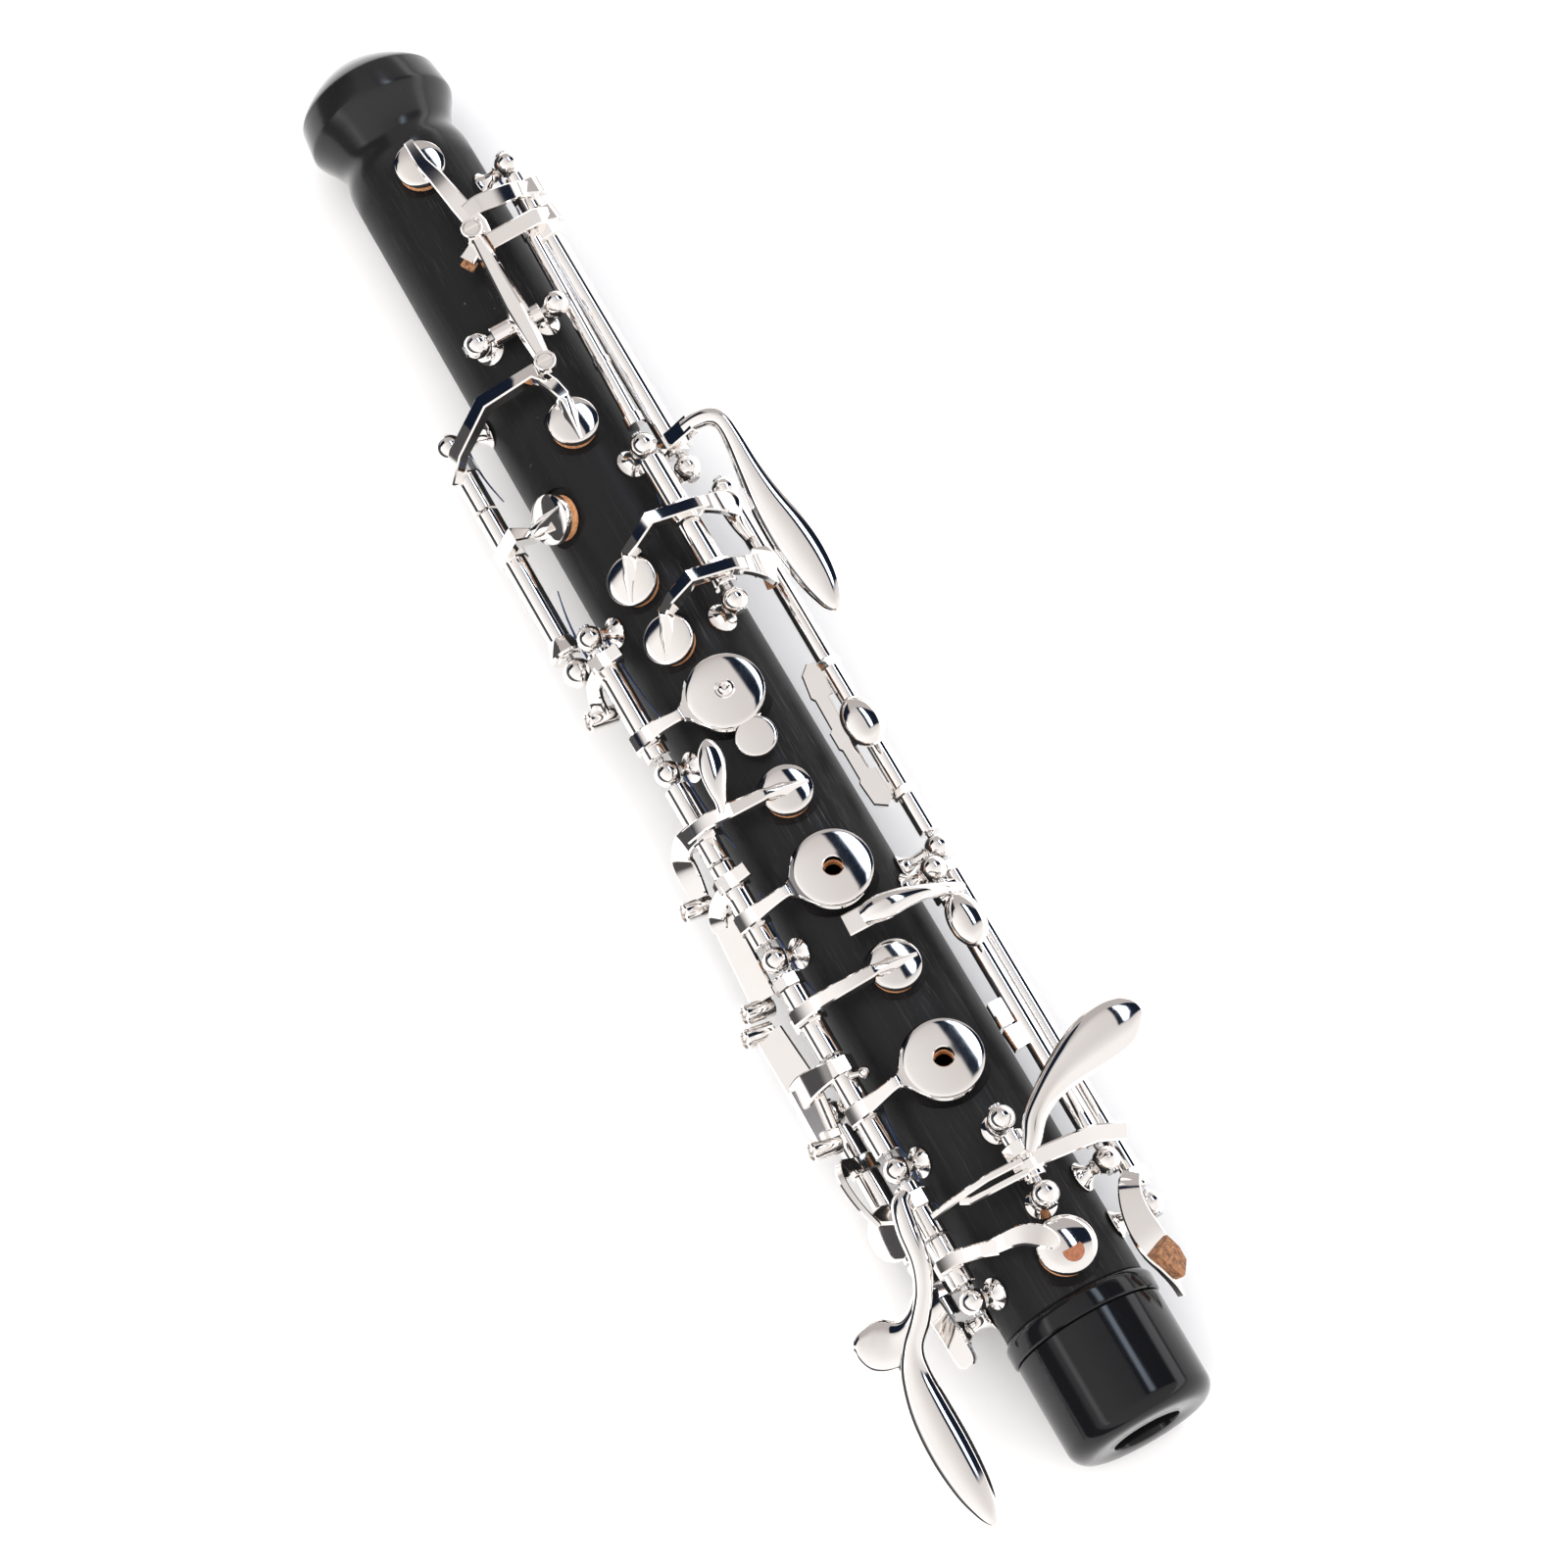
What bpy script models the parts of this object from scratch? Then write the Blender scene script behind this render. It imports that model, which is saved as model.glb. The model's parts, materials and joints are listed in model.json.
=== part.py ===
"""Upper joint of an oboe with its keywork.

The bore runs along Y. The tenon end of the cap is at y = 0, the reed end points to +Y, and the
keys stand on the +Z side. Sizes are written in millimetres and become metres in the meshes.
An angle around the bore is measured from +Z towards +X.
"""

import math

import bmesh
import bpy
from mathutils import Matrix, Vector

MM = 0.001
GAP = 0.3

# Wooden tube, its bore and the tenon end.
BODY_TOP = 256.4
BODY_BOTTOM = 20.9
BODY_TAPER = 0.0042
BODY_RADIUS_AT_ZERO = 11.5
TENON_RADIUS = 8.4
TENON_END = 3.5
BORE_LOW_RADIUS = 4.7
BORE_HIGH_RADIUS = 2.5
REED_WELL_RADIUS = 4.1
REED_WELL_FLOOR = 235.0
LINER_WALL = 0.5
RING_LENGTH = 3.1
RING_RADIUS = 12.2
CORK_THICKNESS = 0.6
CAP_LENGTH = 17.2
CAP_RADIUS = 11.85
CAP_WALL = 2.2
CAP_HOLE_RADIUS = 5.38
CAP_ROUNDING = 3.0

# Keywork.
BALL_RADIUS = 2.3
POST_STEM_RADIUS = 1.1
POST_FOOT_RADIUS = 2.15
TUBE_RADIUS = 1.75
ROD_RADIUS = 0.6
ROD_HOLE_RADIUS = ROD_RADIUS + GAP
ARM_RADIUS = 0.9
BIG_CUP_RADIUS = 6.1
SMALL_CUP_RADIUS = 4.0
CUP_HEIGHT = 1.6
PAD_THICKNESS = 1.5
PAD_INSET = 0.5
SEAT_MARGIN = 0.8
STANDING_LIFT = 1.2

# Hinge lines that run along the bore: x and z of each.
LEFT_STACK = (-13.3, 8.6)
OCTAVE_LINE = (-17.1, 3.6)
THUMB_LINE = (-16.5, -4.0)
UPPER_RIGHT = (13.1, 9.1)
SHORT_STACK = (8.5, 13.5)
TRILL_LINE = (17.0, 3.9)
LOW_INNER = (14.3, 7.5)
SHARP_LINE = (3.2, 15.6)
ROCKER_Y = 197.4
ROCKER_Z = 13.8

SILVER = ((0.86, 0.84, 0.82), 0.16, 1.0)
BLACK = ((0.025, 0.025, 0.027), 0.5, 0.0)
GLOSS = ((0.01, 0.01, 0.011), 0.12, 0.0)
CORK = ((0.55, 0.33, 0.17), 0.85, 0.0)
STEEL = ((0.45, 0.46, 0.5), 0.25, 1.0)

for old in list(bpy.data.objects):
    bpy.data.objects.remove(old, do_unlink=True)

parts = bpy.data.collections.new("oboe_upper_joint")
bpy.context.scene.collection.children.link(parts)


def body_radius(y):
    return BODY_RADIUS_AT_ZERO - BODY_TAPER * y


def polar(angle, radius, y):
    turn = math.radians(angle)
    return Vector((radius * math.sin(turn), y, radius * math.cos(turn)))


def angle_of(x, z):
    return math.degrees(math.atan2(x, z))


def outward(angle):
    """Matrix that sends local +Z to the direction at this angle around the bore."""
    return Matrix.Rotation(math.radians(angle), 4, "Y")


def new_object(name, mesh):
    made = bpy.data.objects.new(name, mesh)
    parts.objects.link(made)
    return made


def evaluated_mesh(source):
    bpy.context.view_layer.update()
    graph = bpy.context.evaluated_depsgraph_get()
    return bpy.data.meshes.new_from_object(source.evaluated_get(graph))


def discard(source):
    data = source.data
    bpy.data.objects.remove(source, do_unlink=True)
    if isinstance(data, bpy.types.Mesh):
        bpy.data.meshes.remove(data)
    else:
        bpy.data.curves.remove(data)


def placed(mesh, matrix):
    mesh.transform(matrix)
    return new_object("piece", mesh)


def turned(profile, segments, matrix):
    """Turns a profile of (radius, height) points, listed from top to bottom, about local Z."""
    mesh = bpy.data.meshes.new("profile")
    points = [(radius * MM, 0, height * MM) for radius, height in profile]
    closed = profile[0][0] > 0
    edges = [(i, i + 1) for i in range(len(points) - 1)]
    if closed:
        edges.append((len(points) - 1, 0))
    mesh.from_pydata(points, edges, [])
    outline = new_object("outline", mesh)
    screw = outline.modifiers.new("turn", "SCREW")
    screw.steps = segments
    screw.render_steps = segments
    screw.use_merge_vertices = True
    screw.merge_threshold = 0.00001
    result = evaluated_mesh(outline)
    discard(outline)
    return placed(result, matrix)


def at(x, y, z):
    return Matrix.Translation(Vector((x, y, z)) * MM)


def along_bore():
    """Matrix that sends local +Z to +Y."""
    return Matrix.Rotation(math.radians(-90), 4, "X")


def cylinder(start, end, radius, segments=10):
    start = Vector(start)
    end = Vector(end)
    shape = bmesh.new()
    span = end - start
    bmesh.ops.create_cone(
        shape,
        cap_ends=True,
        segments=segments,
        radius1=radius * MM,
        radius2=radius * MM,
        depth=span.length * MM,
    )
    mesh = bpy.data.meshes.new("cylinder")
    shape.to_mesh(mesh)
    shape.free()
    turn = span.to_track_quat("Z", "Y").to_matrix().to_4x4()
    return placed(mesh, Matrix.Translation((start + end) / 2 * MM) @ turn)


def bar(points, radius=ARM_RADIUS):
    """A round bar that follows a line of points."""
    curve = bpy.data.curves.new("bar", "CURVE")
    curve.dimensions = "3D"
    curve.bevel_depth = radius * MM
    curve.bevel_resolution = 1
    curve.use_fill_caps = True
    line = curve.splines.new("POLY")
    line.points.add(len(points) - 1)
    for spot, point in zip(line.points, points):
        spot.co = (point[0] * MM, point[1] * MM, point[2] * MM, 1)
    source = new_object("bar", curve)
    mesh = evaluated_mesh(source)
    discard(source)
    shape = bmesh.new()
    shape.from_mesh(mesh)
    bmesh.ops.remove_doubles(shape, verts=shape.verts, dist=0.000001)
    bmesh.ops.recalc_face_normals(shape, faces=shape.faces)
    shape.to_mesh(mesh)
    shape.free()
    return new_object("piece", mesh)


def oval(centre, half_sizes, turn_z=0.0, angle=0.0):
    """A finger touch: a flattened ball, turned in plan and then leaned around the bore."""
    shape = bmesh.new()
    bmesh.ops.create_uvsphere(shape, u_segments=12, v_segments=8, radius=MM)
    mesh = bpy.data.meshes.new("oval")
    shape.to_mesh(mesh)
    shape.free()
    size = Matrix.Diagonal((*half_sizes, 1))
    turn = outward(angle) @ Matrix.Rotation(math.radians(turn_z), 4, "Z")
    return placed(mesh, at(*centre) @ turn @ size)


def box(low, high):
    shape = bmesh.new()
    bmesh.ops.create_cube(shape, size=1.0)
    mesh = bpy.data.meshes.new("box")
    shape.to_mesh(mesh)
    shape.free()
    low = Vector(low)
    high = Vector(high)
    size = Matrix.Diagonal((*((high - low) * MM), 1))
    return placed(mesh, Matrix.Translation((low + high) / 2 * MM) @ size)


def combine(name, look, solids, cuts=()):
    """Unites the solids, takes the cuts away and leaves one named object."""
    base = solids[0]
    for other in solids[1:]:
        step = base.modifiers.new("join", "BOOLEAN")
        step.operation = "UNION"
        step.object = other
    for other in cuts:
        step = base.modifiers.new("cut", "BOOLEAN")
        step.operation = "DIFFERENCE"
        step.object = other
    mesh = evaluated_mesh(base) if base.modifiers else base.data.copy()
    for piece in [*solids, *cuts]:
        discard(piece)
    mesh.name = name
    mesh.shade_smooth()
    mesh.set_sharp_from_angle(angle=math.radians(35))
    mesh.materials.clear()
    mesh.materials.append(material(look))
    return new_object(name, mesh)


def material(look):
    colour, roughness, metallic = look
    name = "finish_%02d_%02d" % (round(colour[0] * 99), round(roughness * 99))
    found = bpy.data.materials.get(name)
    if found:
        return found
    made = bpy.data.materials.new(name)
    made.use_nodes = True
    shader = made.node_tree.nodes["Principled BSDF"]
    shader.inputs["Base Color"].default_value = (*colour, 1)
    shader.inputs["Roughness"].default_value = roughness
    shader.inputs["Metallic"].default_value = metallic
    return made


def move_origin(thing, x, y, z):
    """Puts the object's origin on its hinge line."""
    spot = Vector((x, y, z)) * MM
    thing.data.transform(Matrix.Translation(-spot))
    thing.location = spot


# ---- pads, cups and the seats that they close ----

# name: angle around the bore, y, cup radius, tone hole radius, lift at rest
CUPS = {
    "top_trill": (3.6, 230.6, SMALL_CUP_RADIUS, 1.4, 0.0),
    "upper_octave": (4.8, 178.9, SMALL_CUP_RADIUS, 1.3, 0.0),
    "lower_octave": (-46.0, 167.7, SMALL_CUP_RADIUS, 1.3, 0.0),
    "upper_trill": (-16.0, 150.9, SMALL_CUP_RADIUS, 1.9, 0.0),
    "lower_trill": (-14.5, 139.5, SMALL_CUP_RADIUS, 1.9, 0.0),
    "half_hole": (0.9, 127.5, BIG_CUP_RADIUS, 1.6, STANDING_LIFT),
    "alternate_c": (3.2, 108.9, SMALL_CUP_RADIUS, 2.0, 0.0),
    "a_ring": (3.4, 94.6, BIG_CUP_RADIUS, 2.4, STANDING_LIFT),
    "b_flat": (6.4, 76.7, SMALL_CUP_RADIUS, 2.2, 0.0),
    "g_ring": (2.6, 60.5, BIG_CUP_RADIUS, 2.6, STANDING_LIFT),
    "low_vent": (8.8, 26.9, SMALL_CUP_RADIUS + 0.5, 2.0, STANDING_LIFT),
}
RING_HOLE_RADIUS = 1.5
RINGS = ("a_ring", "g_ring")


def seat_height(name):
    angle, y, radius, hole, lift = CUPS[name]
    reach = radius - PAD_INSET + GAP
    return math.sqrt(body_radius(y) ** 2 - reach**2) - 0.1


def cup_bottom(name):
    return seat_height(name) + GAP + CUPS[name][4] + PAD_THICKNESS + GAP


def cup_solid(name):
    angle, y, radius, hole, lift = CUPS[name]
    profile = [
        (0, CUP_HEIGHT),
        (radius * 0.6, CUP_HEIGHT * 0.94),
        (radius * 0.95, CUP_HEIGHT * 0.6),
        (radius, CUP_HEIGHT * 0.3),
        (radius, 0),
        (0, 0),
    ]
    segments = 20 if radius > SMALL_CUP_RADIUS + 1 else 16
    place = at(0, y, 0) @ outward(angle) @ at(0, 0, cup_bottom(name))
    return turned(profile, segments, place)


def cup_point(name, up, side=0.0, along=0.0):
    """A point near a cup: up from its lower face, sideways and along the bore."""
    angle, y, radius, hole, lift = CUPS[name]
    spot = outward(angle) @ Vector((side, 0, cup_bottom(name) + up))
    return (spot.x, y + along, spot.z)


def make_pad(name):
    angle, y, radius, hole, lift = CUPS[name]
    low = seat_height(name) + GAP + lift
    pad_radius = radius - PAD_INSET
    place = at(0, y, 0) @ outward(angle) @ at(0, 0, low)
    solids = [
        turned(
            [(0, PAD_THICKNESS), (pad_radius, PAD_THICKNESS), (pad_radius, 0), (0, 0)],
            14,
            place,
        )
    ]
    cuts = []
    if name in RINGS:
        top = polar(angle, low + PAD_THICKNESS + 1, y)
        bottom = polar(angle, low - 1, y)
        cuts.append(cylinder(bottom, top, RING_HOLE_RADIUS))
    return combine("pad_" + name, CORK, solids, cuts)


# ---- black body, tenon end and cap ----


def make_body():
    neck = [
        (REED_WELL_RADIUS, BODY_TOP),
        (6.0, BODY_TOP),
        (7.8, BODY_TOP - 1.4),
        (9.25, BODY_TOP - 2.4),
        (10.4, BODY_TOP - 3.4),
        (11.95, BODY_TOP - 5.2),
        (12.3, BODY_TOP - 7.4),
        (12.5, BODY_TOP - 9.4),
        (12.35, BODY_TOP - 10.4),
        (11.5, BODY_TOP - 12.4),
        (10.3, BODY_TOP - 14.4),
        (9.85, BODY_TOP - 15.7),
        (9.85, BODY_TOP - 16.9),
        (10.3, BODY_TOP - 18.9),
        (10.5, BODY_TOP - 20.4),
        (body_radius(225), 225),
    ]
    tenon = [
        (body_radius(BODY_BOTTOM), BODY_BOTTOM),
        (TENON_RADIUS, BODY_BOTTOM),
        (TENON_RADIUS, TENON_END),
        (BORE_LOW_RADIUS, TENON_END),
        (BORE_HIGH_RADIUS, REED_WELL_FLOOR),
        (REED_WELL_RADIUS, REED_WELL_FLOOR),
    ]
    tube = turned(neck + tenon, 36, along_bore())
    cuts = []
    for name, (angle, y, radius, hole, lift) in CUPS.items():
        seat = seat_height(name)
        start = polar(angle, seat, y)
        cuts.append(cylinder(start, polar(angle, seat + 4, y), radius + SEAT_MARGIN, 16))
        cuts.append(cylinder(polar(angle, 0.5, y), polar(angle, seat + 1, y), hole, 8))
    combine("top_joint_body", BLACK, [tube], cuts)


def make_tenon_end():
    liner_radius = REED_WELL_RADIUS - GAP
    liner = [
        (liner_radius, BODY_TOP - 0.2),
        (liner_radius, REED_WELL_FLOOR + GAP),
        (liner_radius - LINER_WALL, REED_WELL_FLOOR + GAP),
        (liner_radius - LINER_WALL, BODY_TOP - 0.2),
    ]
    combine("reed_socket_liner", STEEL, [turned(liner, 20, along_bore())])
    ring_top = BODY_BOTTOM - GAP
    ring = [
        (RING_RADIUS - 0.5, ring_top),
        (RING_RADIUS, ring_top - 0.6),
        (RING_RADIUS, ring_top - RING_LENGTH),
        (TENON_RADIUS + GAP, ring_top - RING_LENGTH),
        (TENON_RADIUS + GAP, ring_top),
    ]
    combine("tenon_ring", GLOSS, [turned(ring, 32, along_bore())])
    cork_inner = TENON_RADIUS + GAP
    cork = [
        (cork_inner + CORK_THICKNESS, 15.0),
        (cork_inner + CORK_THICKNESS, 5.0),
        (cork_inner, 5.0),
        (cork_inner, 15.0),
    ]
    combine("tenon_cork", CORK, [turned(cork, 24, along_bore())])


def make_cap():
    inner = CAP_RADIUS - CAP_WALL
    rounding = [
        (
            CAP_RADIUS - CAP_ROUNDING * (1 - math.cos(math.radians(step * 30))),
            CAP_ROUNDING * (1 - math.sin(math.radians(step * 30))),
        )
        for step in range(4)
    ]
    floor = TENON_END - 2 * GAP
    profile = [(CAP_RADIUS, CAP_LENGTH), *rounding]
    profile += [(CAP_HOLE_RADIUS, 0), (CAP_HOLE_RADIUS, floor), (inner, floor), (inner, CAP_LENGTH)]
    combine("tenon_cap", GLOSS, [turned(profile, 36, along_bore())])


# ---- posts and hinge rods ----

# name: hinge line, then the y of each post on it
POSTS = {
    "left": (LEFT_STACK, (147.2, 121.8, 87.6, 50.3, 27.5)),
    "octave": (OCTAVE_LINE, (188.6, 145.2)),
    "thumb": (THUMB_LINE, (66.0, 27.0)),
    "upper_right": (UPPER_RIGHT, (225.0, 164.3)),
    "short": (SHORT_STACK, (169.3, 139.6)),
    "trill": (TRILL_LINE, (160.3, 92.4, 28.5)),
    "low": (LOW_INNER, (88.6, 36.6)),
    "sharp": (SHARP_LINE, (47.7, 34.7)),
}


def post_solid(angle, distance, y):
    foot = body_radius(y) + GAP
    profile = [
        (0, distance + BALL_RADIUS),
        (1.35, distance + 1.86),
        (2.15, distance + 0.8),
        (2.22, distance - 0.6),
        (1.5, distance - 1.75),
        (POST_STEM_RADIUS, distance - 2.1),
        (POST_STEM_RADIUS, foot + 1.3),
        (POST_FOOT_RADIUS, foot + 0.45),
        (POST_FOOT_RADIUS, foot),
        (0, foot),
    ]
    return turned(profile, 8, at(0, y, 0) @ outward(angle))


def make_posts():
    for name, (line, places) in POSTS.items():
        x, z = line
        for number, y in enumerate(places, 1):
            post = post_solid(angle_of(x, z), math.hypot(x, z), y)
            hole = cylinder((x, y - 4, z), (x, y + 4, z), ROD_HOLE_RADIUS, 8)
            combine("post_%s_%d" % (name, number), SILVER, [post], [hole])
    for name, x in (("left", -6.0), ("right", 8.0)):
        post = post_solid(angle_of(x, ROCKER_Z), math.hypot(x, ROCKER_Z), ROCKER_Y)
        hole = cylinder((x - 4, ROCKER_Y, ROCKER_Z), (x + 4, ROCKER_Y, ROCKER_Z), ROD_HOLE_RADIUS, 8)
        combine("post_rocker_" + name, SILVER, [post], [hole])


def make_rod():
    x, z = LEFT_STACK
    places = POSTS["left"][1]
    rod = cylinder((x, places[-1] - 2.1, z), (x, places[0] + 2.1, z), ROD_RADIUS, 8)
    combine("rod_left_stack", STEEL, [rod])


# ---- keys ----


def tube(line, high, low):
    x, z = line
    return cylinder((x, low, z), (x, high, z), TUBE_RADIUS)


def key(name, line, span, solids, cuts=()):
    """A key: its hinge tube united with its arms, touches and cups, drilled for the rod."""
    x, z = line
    high, low = span
    drill = cylinder((x, low - 2, z), (x, high + 2, z), ROD_HOLE_RADIUS, 8)
    made = combine(name, SILVER, [tube(line, high, low), *solids], [drill, *cuts])
    move_origin(made, x, 0, z)


def barrel(x, y, z):
    """A short cross sleeve that carries an adjusting screw, pointing away from the bore."""
    return cylinder((x + 1.9, y, z), (x - 1.9, y, z), 1.4)


def ring_cut(name):
    angle, y, radius, hole, lift = CUPS[name]
    bottom = polar(angle, cup_bottom(name) - 1, y)
    return cylinder(bottom, polar(angle, cup_bottom(name) + 3, y), RING_HOLE_RADIUS, 12)


def make_left_stack():
    x, z = LEFT_STACK
    plate_y = CUPS["half_hole"][1]
    arm_up = 1.3
    tab_low = cup_point("half_hole", 0.2, 0.6, -8.4)
    tab_high = cup_point("half_hole", 1.2, 0.6, -8.4)
    fork = (-21.6, 28.8, 8.4)
    key(
        "half_hole_key",
        LEFT_STACK,
        (144.5, 124.5),
        [
            bar([(x, 128.2, z), (-8.8, 127.7, 12.9), cup_point("half_hole", arm_up, -4)]),
            cup_solid("half_hole"),
            cylinder(tab_low, tab_high, 3.2, 14),
            bar([(x, 140.4, z), (-16.4, 140.0, 6.8), (-17.0, 137.4, 4.6)]),
            barrel(-17.2, 136.6, 4.0),
        ],
    )
    key(
        "alternate_c_key",
        LEFT_STACK,
        (119.1, 105.2),
        [
            bar([(x, 110.9, z), (-8.9, 109.6, 13.3), cup_point("alternate_c", arm_up, -1)]),
            cup_solid("alternate_c"),
            bar([(-9.2, 110.2, 13.2), (-8.0, 111.6, 15.4), (-7.2, 114.0, 16.0)]),
            oval((-6.9, 116.2, 16.2), (1.6, 4.0, 0.8), -8),
            bar([(x, 110.5, z), (-17.2, 110.1, 7.0), (-17.7, 107.0, 4.6), (-18.2, 103.2, 3.4)]),
            barrel(-19.0, 102.4, 3.2),
        ],
    )
    key(
        "a_ring_key",
        LEFT_STACK,
        (104.8, 90.3),
        [
            bar([(x, 94.5, z), (-8.4, 94.5, 13.0), cup_point("a_ring", arm_up, -4)]),
            cup_solid("a_ring"),
            bar([(x, 99.6, z), (-16.8, 99.2, 6.4), (-17.8, 97.0, 4.4), (-18.4, 84.6, 3.5)]),
            barrel(-18.8, 83.6, 3.2),
        ],
        [ring_cut("a_ring")],
    )
    key(
        "b_flat_key",
        LEFT_STACK,
        (84.9, 70.2),
        [
            bar([(x, 77.2, z), (-7.8, 76.5, 13.2), cup_point("b_flat", arm_up, -1)]),
            cup_solid("b_flat"),
        ],
    )
    key(
        "g_ring_key",
        LEFT_STACK,
        (69.8, 53.0),
        [
            bar([(x, 60.0, z), (-8.4, 60.2, 13.0), cup_point("g_ring", arm_up, -4)]),
            cup_solid("g_ring"),
            bar([(x, 67.6, z), (-18.4, 68.4, 7.4), (-20.0, 68.4, 5.0), (-20.1, 61.0, 2.9)]),
            bar([(-20.0, 68.4, 5.0), (-20.4, 79.6, 3.4)]),
            barrel(-20.2, 60.2, 2.6),
            barrel(-20.6, 80.2, 3.2),
        ],
        [ring_cut("g_ring")],
    )
    key(
        "low_vent_key",
        LEFT_STACK,
        (38.2, 30.2),
        [
            bar([(x, 33.7, z), (-9.6, 31.8, 12.9), (-3.4, 30.2, 15.2), cup_point("low_vent", 1.4, -1)]),
            cup_solid("low_vent"),
        ],
    )
    key(
        "right_hand_lever",
        LEFT_STACK,
        (47.6, 38.6),
        [
            bar([(x, 44.6, z), (-16.2, 42.4, 10.8), (-17.2, 36.2, 10.2), (-19.0, 32.0, 9.4), fork], 1.1),
            bar([fork, (-24.4, 25.8, 7.4), (-26.0, 21.6, 6.4)], 1.1),
            bar([fork, (-26.2, 28.6, 6.6)], 1.1),
            oval((-28.6, 29.2, 6.2), (4.1, 3.6, 0.9), -25),
            oval((-26.5, 10.4, 5.2), (3.4, 12.4, 0.9), 0),
        ],
    )


def make_octave_keys():
    x, z = OCTAVE_LINE
    arm = [(x, 184.2, z), (-13.9, 186.0, 9.4), (-7.5, 187.8, 13.4), (-0.6, 187.0, 14.2)]
    key(
        "upper_octave_key",
        OCTAVE_LINE,
        (185.9, 176.2),
        [
            bar([*arm, (1.0, 183.6, 13.9), cup_point("upper_octave", 1.4)]),
            cup_solid("upper_octave"),
        ],
    )
    key(
        "lower_octave_key",
        OCTAVE_LINE,
        (175.8, 147.9),
        [
            bar([(x, 167.7, z), (-15.2, 167.7, 8.4), cup_point("lower_octave", 1.4)]),
            cup_solid("lower_octave"),
        ],
    )
    x, z = UPPER_RIGHT
    key(
        "side_octave_key",
        UPPER_RIGHT,
        (214.8, 166.9),
        [
            bar([(x, 211.0, z), (10.6, 210.6, 13.1), (2.0, 210.6, 14.3)]),
            bar([(x, 168.9, z), (16.7, 168.9, 12.6), (20.5, 167.0, 13.5), (20.6, 157.0, 13.3)]),
            oval((21.1, 144.8, 12.9), (3.4, 14.0, 0.9), 0),
        ],
    )
    x, z = THUMB_LINE
    disc_angle = -45
    disc = Vector((-17.9, 45.0, -2.2))
    normal = polar(disc_angle, 0.6, 0)
    key(
        "thumb_octave_key",
        THUMB_LINE,
        (63.3, 40.0),
        [
            bar([(x, 56.5, z), (-20.2, 57.0, -1.6), (-20.4, 52.0, -0.4), (-18.6, 46.0, -1.8)]),
            cylinder(disc - normal, disc + normal, 4.4, 16),
        ],
    )
    key(
        "bridge_lever_left",
        THUMB_LINE,
        (39.6, 29.7),
        [bar([(x, 34.0, z), (-18.6, 34.0, 0.4), (-18.2, 31.0, 1.8), (-18.2, 21.4, 1.8)])],
    )


def make_rocker():
    x_low, x_high = -3.3, 5.3
    y, z = ROCKER_Y, ROCKER_Z
    bar_z = 17.4
    boss_radius = 1.7
    made = combine(
        "rocker_lever",
        SILVER,
        [
            cylinder((x_low, y, z), (x_high, y, z), TUBE_RADIUS),
            bar([(2.1, 213.3, bar_z), (1.8, y, bar_z), (1.5, 187.4, bar_z)]),
            bar([(1.8, y, z), (1.8, y, bar_z)]),
            cylinder((2.1, 213.3, 15.7), (2.1, 213.3, 19.2), boss_radius),
            cylinder((1.5, 187.4, 16.6), (1.5, 187.4, 19.2), boss_radius),
        ],
        [cylinder((x_low - 2, y, z), (x_high + 2, y, z), ROD_HOLE_RADIUS, 8)],
    )
    move_origin(made, 0, y, z)


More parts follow.
